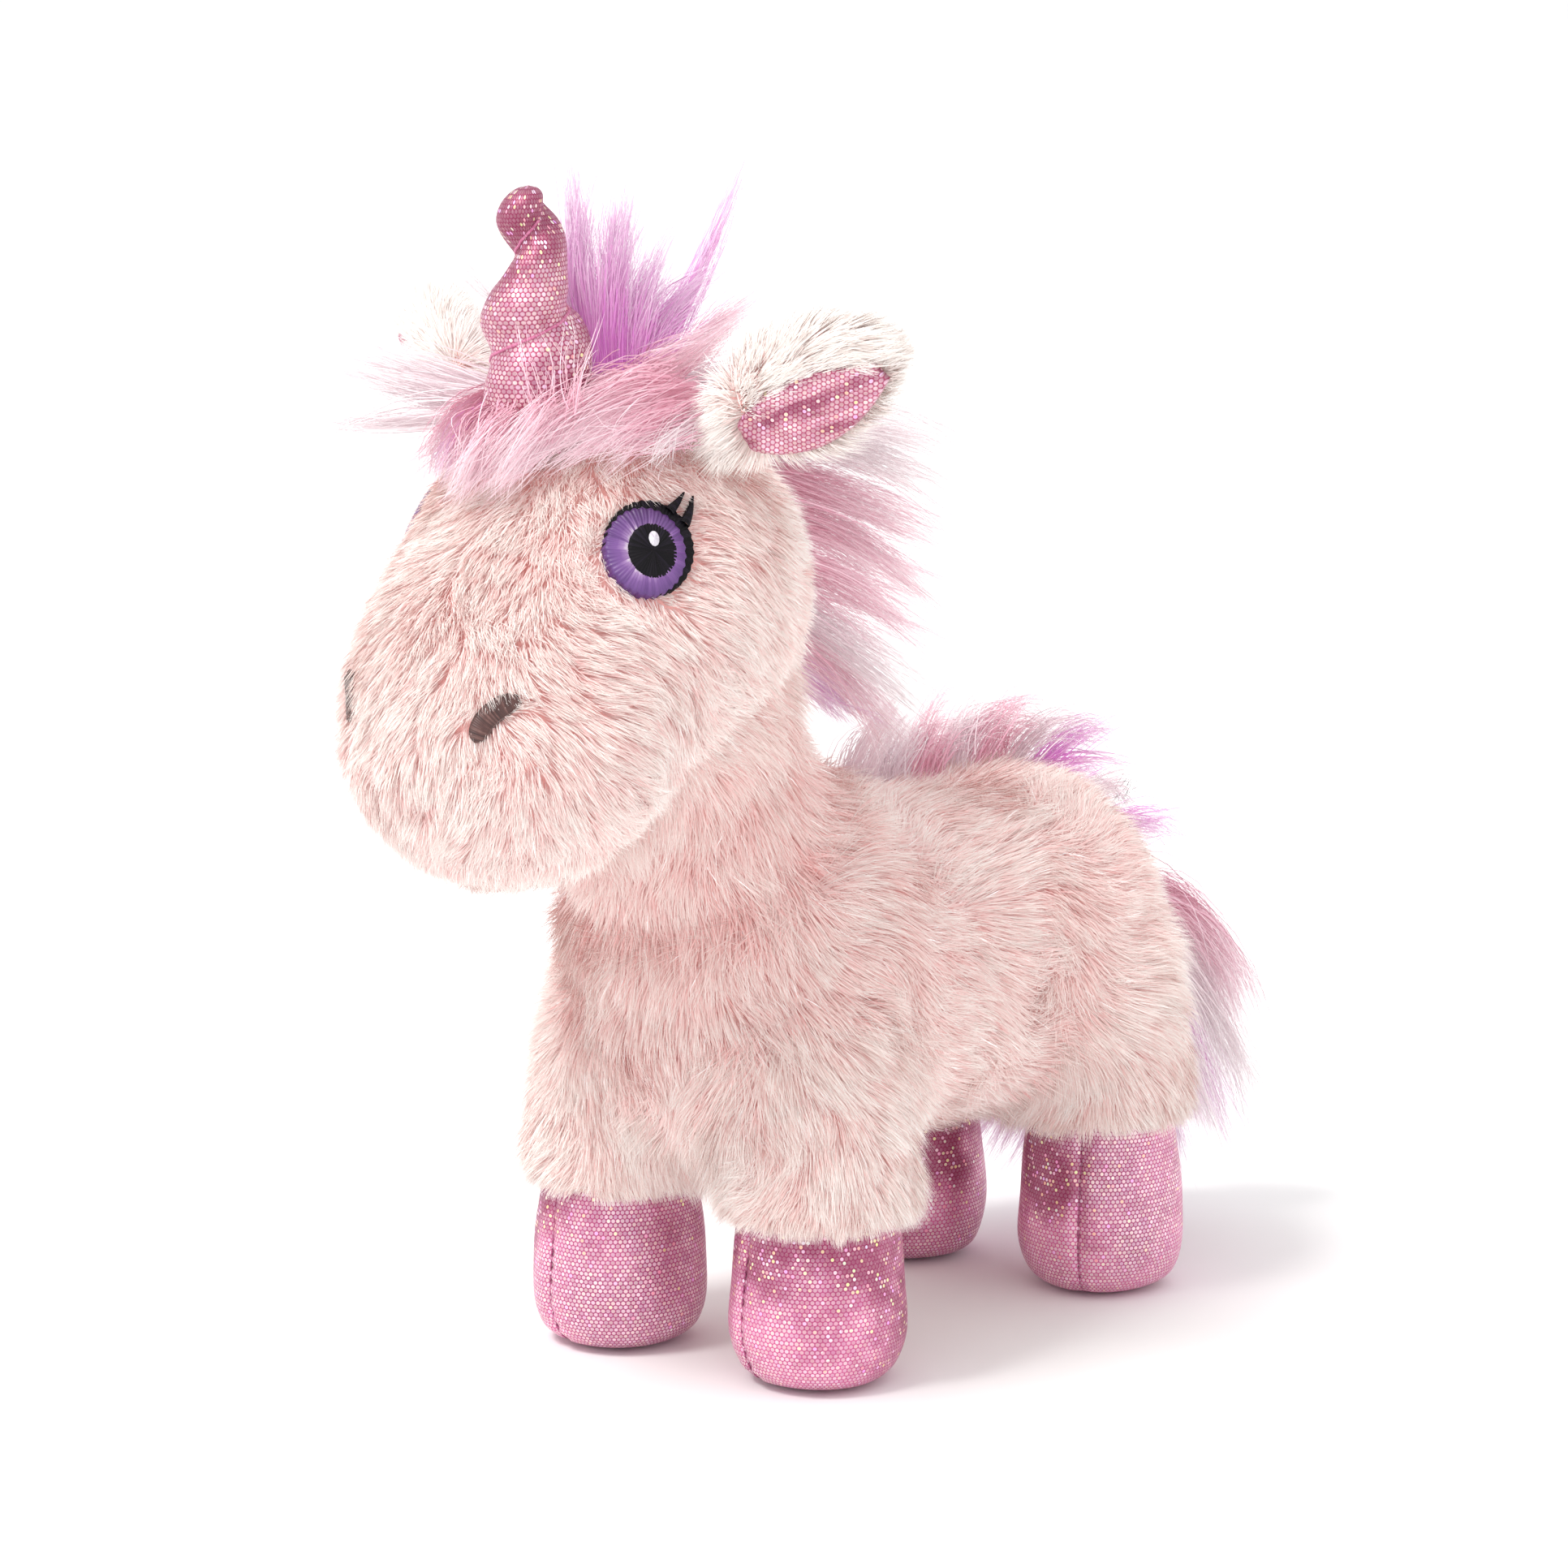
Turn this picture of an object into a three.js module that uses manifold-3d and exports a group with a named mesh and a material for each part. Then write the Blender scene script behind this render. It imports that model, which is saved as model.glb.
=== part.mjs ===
// A stuffed toy unicorn with foil hooves, horn and inner ears, long-haired mane and tail.
// Millimetres, +Z up, the toy faces -Y and its left side is +X. It stands on Z = 0.

import * as THREE from 'three';
import { mergeVertices } from 'three/addons/utils/BufferGeometryUtils.js';
import Module from 'manifold-3d';

const wasm = await Module();
wasm.setup();

// ---------------------------------------------------------------- driving dimensions

const gap = 0.3; // left between two pieces that touch
const socketGap = 1.2; // left round a piece that turns inside another
const hairLift = 1.2; // between the cloth and the underside of the long hair
const hornRoom = 3; // between the horn as it bends and the long hair
const furCloth = 3.2; // furry cloth with its pressed pile
const foilCloth = 1.2; // foil cloth with its backing
const stitchLow = 0.3; // where embroidery starts above the cloth
const stitchHigh = 1.1; // where it ends
const centreShift = -3.5; // moves the whole toy along Y so that its box is centred on the origin

const bodyWidth = 85;
const bodyBottom = 41;
const withersTop = 128;
const rumpTop = 120;
const chestY = -18;
const rumpY = 55;

const headWidth = 84;
const skull = point(0, -65, 171);
const muzzle = point(0, -97, 144);
const neckRoot = point(0, -34, 110);
const neckTop = point(0, -60, 150);
const neckRootRadius = 28;
const neckTopRadius = 26;

const hipZ = 62;
const hipRadius = 20;
const hoofRadius = 18.8;
const toeStretch = 1.04; // how much longer the hoof is towards its toe
const hoofRim = 0.87; // the hoof's width at its rim, as a share of its widest
const hoofBends = [[0.52, 0], [0.78, 1.6], [0.92, 5], [1, 12], [0.97, 23]]; // [share of width, height]
const hoofLining = [[0.7, 0.4], [0.95, 7], [0.97, 22]];
const rimOverlap = 2.5; // how far the hoof's rim goes up inside the leg's sleeve
const legPlaces = [
  { name: 'front_left', x: 26.2, hipY: -30, footY: -28.5, hemZ: 35, hemRadius: 23, seamTurn: -19 },
  { name: 'front_right', x: -26.2, hipY: -34, footY: -35.1, hemZ: 35, hemRadius: 22, seamTurn: -11 },
  { name: 'hind_left', x: 25.3, hipY: 67, footY: 69.1, hemZ: 38, hemRadius: 21.6, seamTurn: 23 },
  { name: 'hind_right', x: -25.3, hipY: 62, footY: 59.9, hemZ: 38, hemRadius: 21.6, seamTurn: -8 },
];

const hornFoot = point(0, -84, 207);
const hornTip = point(0, -86.5, 254);
const hornRadius = 10.6;

const earRoot = point(35, -67, 208);
const earTip = point(66.5, -54, 222.5);
const earFacing = point(0.44, -0.85, -0.28);
const earWidth = 28;
const earThickness = 14;

const eyePlace = point(33, -86, 184.5);
const eyeWidth = 18.6;
const eyeHeight = 20;
const nostrilPlace = point(22, -119, 152.5);
const nostrilLength = 10.5;
const nostrilWidth = 4.2;

const tailRoot = point(0, 96, 86);

// How far each piece turns, in degrees either way, used to cut room for the motion.
const legSwing = 15;
const neckTurn = 15;
const headNod = 10;
const earFlap = 15;
const hornBend = 10;
const tailRoomAngles = [-8, 0, 15, 30, 45]; // the socket is open a little below rest

const threadRadius = 0.35;
const threadLift = 1.3; // the thread's middle above the bottom of the horn's groove
const threadEnds = [0.2, 0.84]; // shares of the horn's height

// Lashes as [start, bend, tip], each [out from the eye's middle, up from it].
const lashLines = [
  [[5, 6.6], [6.6, 9.6], [7.6, 12]],
  [[7, 4.6], [9.2, 8], [11.2, 10.4]],
];
const lashWidths = [2.4, 0.8]; // at its root and its tip

// Locks of long hair as [root, tip, radius at the root, radius at the tip].
const forelockLocks = [
  [point(0, -64, 216), point(-3, -66, 244), 9, 7],
  [point(0, -56, 216), point(4, -55, 246), 9, 7],
  [point(0, -50, 213), point(2, -42, 240), 9, 7],
];
const fringeLocks = [
  [point(-20, -84, 206), point(-13, -96, 198), 8, 7],
  [point(20, -84, 206), point(13, -96, 198), 8, 7],
  [point(0, -97, 204), point(0, -101, 195), 8, 6],
];
const crestLocks = [
  [point(0, -32, 206), point(0, -20, 202), 9, 8],
  [point(0, -22, 186), point(2, -10, 182), 9, 8],
  [point(0, -22, 168), point(-2, -10, 160), 9, 8],
];
const backLocks = [
  [point(0, 20, 128), point(0, 42, 131), 8, 9],
  [point(0, 40, 127), point(0, 66, 123), 8, 8],
  [point(0, 62, 121), point(0, 86, 106), 8, 6],
];

// ---------------------------------------------------------------- materials

const cream = { color: 0xf6e2dc, roughness: 0.95, metalness: 0 };
const foil = { color: 0xe39ab8, roughness: 0.35, metalness: 0.45 };
const filling = { color: 0xf4f2ee, roughness: 1, metalness: 0 };
const pellets = { color: 0xd9d4cc, roughness: 0.7, metalness: 0 };
const lilacHair = { color: 0xd9a6e0, roughness: 0.8, metalness: 0 };
const pinkHair = { color: 0xf0bcd0, roughness: 0.8, metalness: 0 };
const paleHair = { color: 0xe9dcea, roughness: 0.8, metalness: 0 };
const blackThread = { color: 0x1c1620, roughness: 0.6, metalness: 0 };
const purpleThread = { color: 0x7b4bb5, roughness: 0.5, metalness: 0 };
const whiteThread = { color: 0xf7f4fa, roughness: 0.5, metalness: 0 };
const brownThread = { color: 0x4a2e2c, roughness: 0.6, metalness: 0 };

const unicorn = new THREE.Group();
unicorn.position.y = centreShift;

// ---------------------------------------------------------------- small helpers

function point(x, y, z) {
  return new THREE.Vector3(x, y, z);
}

function mirrored(place) {
  return point(-place.x, place.y, place.z);
}

function degrees(angle) {
  return THREE.MathUtils.degToRad(angle);
}

// ---------------------------------------------------------------- soft shapes as distance functions

// Distance from a place to an ellipsoid, with its own axes when a frame is given.
function ball(centre, radii, frame = null) {
  const size = point(...radii);
  const toFrame = frame ? frame.clone().invert() : null;
  return (place) => {
    const local = place.clone().sub(centre);
    if (toFrame) local.applyMatrix4(toFrame);
    const scaled = local.clone().divide(size).length();
    const slope = local.clone().divide(size).divide(size).length();
    return slope > 0 ? (scaled * (scaled - 1)) / slope : -Math.min(...radii);
  };
}

// Distance to a round rod that may be thicker at one end.
function rod(start, end, startRadius, endRadius) {
  const along = end.clone().sub(start);
  return (place) => {
    const local = place.clone().sub(start);
    const t = THREE.MathUtils.clamp(local.dot(along) / along.lengthSq(), 0, 1);
    return local.addScaledVector(along, -t).length() - THREE.MathUtils.lerp(startRadius, endRadius, t);
  };
}

// Joins shapes with a soft fillet, as stuffed cloth does.
function soften(shapes, fillet) {
  return (place) => shapes.map((shape) => shape(place)).reduce((near, next) => {
    const share = THREE.MathUtils.clamp(0.5 + (0.5 * (next - near)) / fillet, 0, 1);
    return THREE.MathUtils.lerp(next, near, share) - fillet * share * (1 - share);
  });
}

// The part of a shape that stays clear of another one.
function clearOf(shape, other, clearance) {
  return (place) => Math.max(shape(place), clearance - other(place));
}

// The space a shape passes through as it turns about an axis through a pivot.
function swept(shape, axis, pivot, angles) {
  const turns = angles.map((angle) => {
    const turn = new THREE.Matrix4().makeTranslation(pivot.x, pivot.y, pivot.z);
    turn.multiply(new THREE.Matrix4().makeRotationAxis(axis, -degrees(angle)));
    return turn.multiply(new THREE.Matrix4().makeTranslation(-pivot.x, -pivot.y, -pivot.z));
  });
  return (place) => Math.min(...turns.map((turn) => shape(place.clone().applyMatrix4(turn))));
}

function bothWays(limit) {
  return [-limit, -limit / 2, 0, limit / 2, limit];
}

// Where a ray from a place inside a shape first leaves it, at a given offset from its surface.
function reach(shape, centre, direction, offset) {
  const stride = 2;
  const at = (distance) => centre.clone().addScaledVector(direction, distance);
  let near = 0;
  while (shape(at(near + stride)) < offset) near += stride;
  let far = near + stride;
  for (let step = 0; step < 16; step += 1) {
    const middle = (near + far) / 2;
    if (shape(at(middle)) < offset) near = middle;
    else far = middle;
  }
  return at(near);
}

// ---------------------------------------------------------------- solids

function solidFrom(geometry) {
  const bare = geometry.index ? geometry.clone() : geometry;
  bare.deleteAttribute('normal');
  bare.deleteAttribute('uv');
  const merged = mergeVertices(bare, 1e-4);
  const mesh = new wasm.Mesh({
    numProp: 3,
    vertProperties: new Float32Array(merged.attributes.position.array),
    triVerts: new Uint32Array(merged.index.array),
  });
  return new wasm.Manifold(mesh);
}

// A ball of triangles pulled onto a soft shape; the poles lie along the given axis.
function wrapped(shape, centre, offset, stretch, around, along, poles = 'z') {
  const geometry = new THREE.SphereGeometry(1, around, along);
  if (poles === 'z') geometry.rotateX(Math.PI / 2);
  const positions = geometry.attributes.position;
  for (let i = 0; i < positions.count; i += 1) {
    const direction = new THREE.Vector3().fromBufferAttribute(positions, i).multiply(stretch).normalize();
    const place = reach(shape, centre, direction, offset);
    positions.setXYZ(i, place.x, place.y, place.z);
  }
  return solidFrom(geometry);
}

function block(low, high) {
  const geometry = new THREE.BoxGeometry(high.x - low.x, high.y - low.y, high.z - low.z);
  geometry.translate((low.x + high.x) / 2, (low.y + high.y) / 2, (low.z + high.z) / 2);
  return solidFrom(geometry);
}

// A cut can leave crumbs beside the piece; the piece is the largest of them.
function largest(solid) {
  return solid.decompose().reduce((most, next) => (next.volume() > most.volume() ? next : most));
}

function addPiece(name, solid, finish) {
  const mesh = largest(solid).getMesh();
  const geometry = new THREE.BufferGeometry();
  geometry.setAttribute('position', new THREE.BufferAttribute(mesh.vertProperties, 3));
  geometry.setIndex(new THREE.BufferAttribute(mesh.triVerts, 1));
  geometry.computeVertexNormals();
  const piece = new THREE.Mesh(geometry, new THREE.MeshStandardMaterial(finish));
  piece.name = name;
  unicorn.add(piece);
}

// ---------------------------------------------------------------- patches of embroidery and foil

// Unit vectors across, up and out of a soft shape at a place on it.
function surfaceFrame(shape, place, upHint = point(0, 0, 1)) {
  const step = 0.5;
  const out = point(
    shape(place.clone().add(point(step, 0, 0))) - shape(place.clone().add(point(-step, 0, 0))),
    shape(place.clone().add(point(0, step, 0))) - shape(place.clone().add(point(0, -step, 0))),
    shape(place.clone().add(point(0, 0, step))) - shape(place.clone().add(point(0, 0, -step))),
  ).normalize();
  const across = upHint.clone().cross(out).normalize();
  return { place, across, up: out.clone().cross(across), out };
}

// Drops a point of the frame's plane onto the shape, along the frame's inward normal.
function dropped(shape, frame, u, v, offset) {
  const start = frame.place.clone().addScaledVector(frame.across, u).addScaledVector(frame.up, v);
  start.addScaledVector(frame.out, 30);
  let low = 0;
  let high = 45;
  for (let step = 0; step < 24; step += 1) {
    const middle = (low + high) / 2;
    const outside = shape(start.clone().addScaledVector(frame.out, -middle)) > offset;
    if (outside) low = middle;
    else high = middle;
  }
  return start.addScaledVector(frame.out, -low);
}

// A thin closed sheet on a soft shape. rim(t, s) gives its (u, v) for t round it and s across it.
function sheet(shape, frame, rim, around, across, low, high, closedRound) {
  const columns = closedRound ? around : around + 1;
  const places = [low, high].flatMap((offset) => {
    const layer = [];
    for (let j = 0; j <= across; j += 1) {
      for (let i = 0; i < columns; i += 1) {
        const [u, v] = rim(i / around, j / across);
        layer.push(dropped(shape, frame, u, v, offset));
      }
    }
    return layer;
  });
  const layerSize = columns * (across + 1);
  const at = (layer, i, j) => layer * layerSize + j * columns + (closedRound ? i % columns : i);
  const faces = [];
  const quad = (a, b, c, d) => faces.push(a, b, c, a, c, d);
  for (let j = 0; j < across; j += 1) {
    for (let i = 0; i < around; i += 1) {
      quad(at(1, i, j), at(1, i + 1, j), at(1, i + 1, j + 1), at(1, i, j + 1));
      quad(at(0, i, j), at(0, i, j + 1), at(0, i + 1, j + 1), at(0, i + 1, j));
    }
  }
  for (let i = 0; i < around; i += 1) {
    quad(at(0, i, 0), at(0, i + 1, 0), at(1, i + 1, 0), at(1, i, 0));
    quad(at(0, i, across), at(1, i, across), at(1, i + 1, across), at(0, i + 1, across));
  }
  if (!closedRound) {
    for (let j = 0; j < across; j += 1) {
      quad(at(0, 0, j), at(1, 0, j), at(1, 0, j + 1), at(0, 0, j + 1));
      quad(at(0, around, j), at(0, around, j + 1), at(1, around, j + 1), at(1, around, j));
    }
  }
  return sheetSolid(places, faces);
}

function sheetSolid(places, faces) {
  const geometry = new THREE.BufferGeometry();
  geometry.setAttribute('position', new THREE.Float32BufferAttribute(places.flatMap((p) => p.toArray()), 3));
  geometry.setIndex(faces);
  let solid = solidFrom(geometry);
  if (solid.volume() < 0) {
    for (let i = 0; i < faces.length; i += 3) [faces[i], faces[i + 1]] = [faces[i + 1], faces[i]];
    geometry.setIndex(faces);
    solid = solidFrom(geometry);
  }
  return solid;
}

// A flat ring between two ovals on a soft shape.
function ovalRing(shape, frame, inner, outer, around) {
  const rim = (t, s) => {
    const angle = 2 * Math.PI * t;
    const width = THREE.MathUtils.lerp(inner.width, outer.width, s);
    const height = THREE.MathUtils.lerp(inner.height, outer.height, s);
    const u = THREE.MathUtils.lerp(inner.u, outer.u, s) + width * Math.cos(angle);
    const v = THREE.MathUtils.lerp(inner.v, outer.v, s) + height * Math.sin(angle);
    return [u, v];
  };
  return sheet(shape, frame, rim, around, 1, stitchLow, stitchHigh, true);
}

// A tapered stroke along an arc in the frame's plane.
function stroke(shape, frame, line, width, steps, rows = 1, low = stitchLow, high = stitchHigh) {
  const curve = new THREE.QuadraticBezierCurve(...line.map(([u, v]) => new THREE.Vector2(u, v)));
  const rim = (t, s) => {
    const middle = curve.getPoint(t);
    const along = curve.getTangent(t);
    const half = (s - 0.5) * width(t);
    return [middle.x - along.y * half, middle.y + along.x * half];
  };
  return sheet(shape, frame, rim, steps, rows, low, high, false);
}

// ---------------------------------------------------------------- the soft shapes

function bodyShape() {
  const half = bodyWidth / 2;
  const chestZ = (withersTop + bodyBottom) / 2;
  const rumpZ = (rumpTop + bodyBottom) / 2;
  return soften([
    ball(point(0, chestY, chestZ), [half, 42, (withersTop - bodyBottom) / 2]),
    ball(point(0, (chestY + rumpY) / 2, rumpZ), [half - 4, 44, (rumpTop - bodyBottom) / 2 - 1]),
    ball(point(0, rumpY, rumpZ), [half - 1, 41, (rumpTop - bodyBottom) / 2]),
  ], 10);
}

function headShape() {
  const half = headWidth / 2;
  return soften([
    ball(skull, [half, 42, 42]),
    ball(muzzle, [half - 4, 29, 31]),
    ball(point(0, -84, 158), [half - 5, 36, 32]),
  ], 10);
}

function neckShape() {
  return rod(neckRoot, neckTop, neckRootRadius, neckTopRadius);
}

function tailShape() {
  const bend = point(0, 116, 60);
  return soften([rod(tailRoot, bend, 8, 12), rod(bend, point(0, 121, 26), 12, 13)], 8);
}

const xAxis = point(1, 0, 0);
const zAxis = point(0, 0, 1);
const plump = point(1, 1, 1);
const body = bodyShape();
const head = headShape();
const neck = neckShape();
const tail = tailShape();
const liftingTail = swept(tail, xAxis, tailRoot, tailRoomAngles);
const bodyMiddle = point(0, 20, 82);
const headMiddle = point(0, -78, 162);
const neckMiddle = point(0, -47, 130);
const tailMiddle = point(0, 112, 58);

const bodySolid = (offset, around, along) => (
  wrapped(body, bodyMiddle, offset, point(0.6, 1, 0.6), around, along, 'y')
);
const headSolid = (offset, around, along) => wrapped(head, headMiddle, offset, plump, around, along);
const neckSolid = (offset) => wrapped(neck, neckMiddle, offset, plump, 14, 10);

// ---------------------------------------------------------------- legs

function legShape(leg) {
  const hip = point(leg.x, leg.hipY, hipZ);
  const foot = point(leg.x, leg.footY, leg.hemZ - 3);
  return rod(hip, foot, hipRadius, leg.hemRadius);
}

function legSolid(leg, offset) {
  const middle = point(leg.x, (leg.hipY + leg.footY) / 2, (hipZ + leg.hemZ) / 2);
  return wrapped(legShape(leg), middle, offset, plump, 12, 9);
}

function above(height) {
  return block(point(-90, -90, height), point(90, 130, 120));
}

// A closed round pouch with a flat bottom, a little longer towards the toe.
function hoofSolid(leg, inset, top, bend = hoofBends) {
  const widest = hoofRadius - inset;
  const wall = bend.map(([share, height]) => new THREE.Vector2(widest * share, inset + height));
  const rimWidth = widest * hoofRim;
  const middleLow = new THREE.Vector2(0, inset);
  const middleTop = new THREE.Vector2(0, top);
  const profile = [middleLow, ...wall, new THREE.Vector2(rimWidth, top), middleTop];
  const geometry = new THREE.LatheGeometry(profile, 12);
  geometry.rotateX(Math.PI / 2);
  const positions = geometry.attributes.position;
  for (let i = 0; i < positions.count; i += 1) {
    const y = positions.getY(i);
    positions.setY(i, y < 0 ? y * toeStretch : y);
  }
  geometry.rotateZ(degrees(leg.seamTurn));
  geometry.translate(leg.x, leg.footY, 0);
  return solidFrom(geometry);
}

function seamSide(leg, side) {
  const geometry = new THREE.BoxGeometry(60, 120, 120);
  geometry.translate(side * (30 + gap / 2), 0, 0);
  geometry.rotateZ(degrees(leg.seamTurn));
  geometry.translate(leg.x, leg.footY, 0);
  return solidFrom(geometry);
}

function addLeg(leg) {
  const rim = leg.hemZ + rimOverlap;
  const sleeve = legSolid(leg, 0).subtract(legSolid(leg, -furCloth)).intersect(above(leg.hemZ));
  addPiece(`${leg.name}_leg_sleeve`, sleeve, cream);
  const stuffing = legSolid(leg, -furCloth - gap).intersect(above(rim + gap));
  addPiece(`${leg.name}_leg_stuffing`, stuffing, filling);
  const cup = hoofSolid(leg, 0, rim).subtract(hoofSolid(leg, foilCloth, rim + 5, hoofLining));
  const outward = Math.sign(leg.x);
  addPiece(`${leg.name}_hoof_outer_panel`, cup.intersect(seamSide(leg, outward)), foil);
  addPiece(`${leg.name}_hoof_inner_panel`, cup.intersect(seamSide(leg, -outward)), foil);
  addPiece(`${leg.name}_hoof_pellets`, hoofSolid(leg, foilCloth + gap, rim, hoofLining), pellets);
}

function legRoom(leg) {
  const hip = point(leg.x, leg.hipY, hipZ);
  return wrapped(swept(legShape(leg), xAxis, hip, bothWays(legSwing)), hip, socketGap, plump, 14, 10);
}

// ---------------------------------------------------------------- body and neck

function addBody() {
  const rooms = legPlaces.map(legRoom).reduce((whole, next) => whole.add(next));
  const turningNeck = swept(neck, zAxis, neckRoot, bothWays(neckTurn));
  const neckRoom = wrapped(turningNeck, neckRoot, socketGap, plump, 18, 12);
  const tailRoom = wrapped(liftingTail, tailRoot, socketGap, plump, 14, 12);
  const allRooms = rooms.add(neckRoom).add(tailRoom);
  const shell = bodySolid(0, 18, 14).subtract(bodySolid(-furCloth, 14, 11)).subtract(allRooms);
  const bellyHalf = 17;
  const bellyTop = 56;
  const belly = block(point(-bellyHalf, -80, 0), point(bellyHalf, 120, bellyTop));
  const bellyCut = block(point(-bellyHalf - gap, -80, 0), point(bellyHalf + gap, 120, bellyTop + gap));
  const leftHalf = block(point(gap / 2, -100, 0), point(80, 130, 150));
  const rightHalf = block(point(-80, -100, 0), point(-gap / 2, 130, 150));
  const sides = shell.subtract(bellyCut);
  addPiece('body_left_panel', sides.intersect(leftHalf), cream);
  addPiece('body_right_panel', sides.intersect(rightHalf), cream);
  addPiece('belly_gusset', shell.intersect(belly), cream);
  addPiece('body_stuffing', bodySolid(-furCloth - gap, 14, 11).subtract(allRooms), filling);
}

function addNeck() {
  addPiece('neck_sleeve', neckShell(), cream);
  addPiece('neck_stuffing', neckSolid(-furCloth - gap), filling);
}

// The neck's cloth is open at the top, inside the head.
function neckShell() {
  const opening = new THREE.CylinderGeometry(9, 9, 40, 12);
  opening.rotateX(Math.PI / 2);
  opening.translate(neckTop.x, neckTop.y, neckTop.z + neckTopRadius);
  return neckSolid(0).subtract(neckSolid(-furCloth)).subtract(solidFrom(opening));
}

// ---------------------------------------------------------------- head

const noddingNeck = swept(neck, xAxis, neckTop, bothWays(headNod));

function addHead() {
  const neckRoom = wrapped(noddingNeck, neckTop, socketGap, plump, 18, 12);
  const rooms = neckRoom.add(hornSocket());
  const shell = headSolid(0, 20, 14).subtract(headSolid(-furCloth, 14, 10)).subtract(rooms);
  const gussetHalf = 14;
  const gussetLow = 128;
  const gusset = block(point(-gussetHalf, -140, gussetLow), point(gussetHalf, 0, 230));
  const gussetCut = block(point(-gussetHalf - gap, -140, gussetLow - gap), point(gussetHalf + gap, 0, 230));
  const leftHalf = block(point(gap / 2, -150, 90), point(80, 20, 230));
  const rightHalf = block(point(-80, -150, 90), point(-gap / 2, 20, 230));
  const sides = shell.subtract(gussetCut);
  addPiece('head_left_panel', sides.intersect(leftHalf), cream);
  addPiece('head_right_panel', sides.intersect(rightHalf), cream);
  addPiece('head_centre_gusset', shell.intersect(gusset), cream);
  addPiece('head_stuffing', headSolid(-furCloth - gap, 14, 10).subtract(rooms), filling);
}

function addEye(side, name) {
  const place = side > 0 ? eyePlace : mirrored(eyePlace);
  const frame = surfaceFrame(head, place);
  const back = side; // the frame's across vector points to the toy's left on the left eye
  const full = { u: 0, v: 0, width: eyeWidth / 2, height: eyeHeight / 2 };
  const irisRim = { u: -0.5 * back, v: -0.4, width: full.width - 1.1, height: full.height - 1.2 };
  const pupilRim = { u: 0, v: -1.3, width: 5, height: 5.6 };
  const glintRim = { u: 0.6 * back, v: 1.2, width: 1.2, height: 1.7 };
  const pinhole = { u: glintRim.u, v: glintRim.v, width: 0.2, height: 0.2 };
  const smaller = (rim) => ({ ...rim, width: rim.width - gap, height: rim.height - gap });
  const lashWidth = (t) => THREE.MathUtils.lerp(...lashWidths, t);
  const lashes = lashLines.map((line) => (
    stroke(head, frame, line.map(([u, v]) => [u * back, v]), lashWidth, 5)
  ));
  const outline = lashes.reduce((whole, lash) => whole.add(lash), ovalRing(head, frame, irisRim, full, 16));
  const iris = ovalRing(head, frame, pupilRim, smaller(irisRim), 16);
  addPiece(`${name}_eye_outline_and_lashes`, outline, blackThread);
  addPiece(`${name}_eye_iris`, iris, purpleThread);
  addPiece(`${name}_eye_pupil`, ovalRing(head, frame, glintRim, smaller(pupilRim), 14), blackThread);
  addPiece(`${name}_eye_glint`, ovalRing(head, frame, pinhole, smaller(glintRim), 8), whiteThread);
}

function addNostril(side, name) {
  const place = side > 0 ? nostrilPlace : mirrored(nostrilPlace);
  const frame = surfaceFrame(head, place);
  const half = nostrilLength / 2;
  const line = [[-0.75, -0.85], [-0.75, 0.6], [0.85, 0.85]].map(([u, v]) => [u * half * side, v * half]);
  const width = (t) => nostrilWidth * (0.35 + 0.65 * Math.sin(Math.PI * t));
  addPiece(`${name}_nostril`, stroke(head, frame, line, width, 8), brownThread);
}

// ---------------------------------------------------------------- ears

function earFrame(side) {
  const root = side > 0 ? earRoot : mirrored(earRoot);
  const tip = side > 0 ? earTip : mirrored(earTip);
  const facing = side > 0 ? earFacing : mirrored(earFacing);
  const along = tip.clone().sub(root).normalize();
  const out = facing.clone().addScaledVector(along, -facing.dot(along)).normalize();
  const across = out.clone().cross(along).normalize();
  const length = tip.distanceTo(root);
  const middle = root.clone().addScaledVector(along, length * 0.46);
  return { root, middle, along, across, out, length };
}

function earShape(ear) {
  const turned = new THREE.Matrix4().makeBasis(ear.along, ear.across, ear.out);
  const nearTip = ear.root.clone().addScaledVector(ear.along, ear.length * 0.86);
  return soften([
    ball(ear.middle, [ear.length * 0.56, earWidth / 2, earThickness / 2], turned),
    ball(nearTip, [ear.length * 0.2, earWidth / 4, earThickness / 3], turned),
  ], 6);
}

function addEar(side, name) {
  const ear = earFrame(side);
  const shape = earShape(ear);
  const headRoom = swept(head, ear.across, ear.root, bothWays(earFlap));
  const outer = wrapped(clearOf(shape, headRoom, socketGap), ear.middle, 0, plump, 16, 10);
  addPiece(`${name}_ear_outer`, outer, cream);
  const place = ear.middle.clone().addScaledVector(ear.out, earThickness / 2);
  const frame = { place, across: ear.along, up: ear.out.clone().cross(ear.along), out: ear.out };
  const line = [[-ear.length * 0.36, -1.5], [0, -2.5], [ear.length * 0.52, 0]];
  const width = (t) => 1.4 + earWidth * 0.52 * Math.sin(Math.PI * (0.08 + 0.87 * t)) ** 0.8;
  const inner = stroke(shape, frame, line, width, 10, 4, gap, gap + foilCloth);
  addPiece(`${name}_ear_inner`, inner, foil);
}

// ---------------------------------------------------------------- horn

const hornAxis = hornTip.clone().sub(hornFoot);
const hornTurn = new THREE.Quaternion().setFromUnitVectors(zAxis, hornAxis.clone().normalize());
const grooveTurns = 2.3;

// Radius of the horn at a height t from foot to tip, with the groove that winds round it.
function hornRadiusAt(t, angle) {
  const slimming = 4 * THREE.MathUtils.smoothstep(t, 0.42, 0.66);
  const roundTip = Math.sqrt(1 - Math.max(0, (t - 0.82) / 0.18) ** 2);
  const groove = 1.4 * (0.5 + 0.5 * Math.cos(angle - 2 * Math.PI * grooveTurns * t)) ** 2;
  return (hornRadius - slimming - groove * Math.min(1, t * 8)) * roundTip;
}

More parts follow.
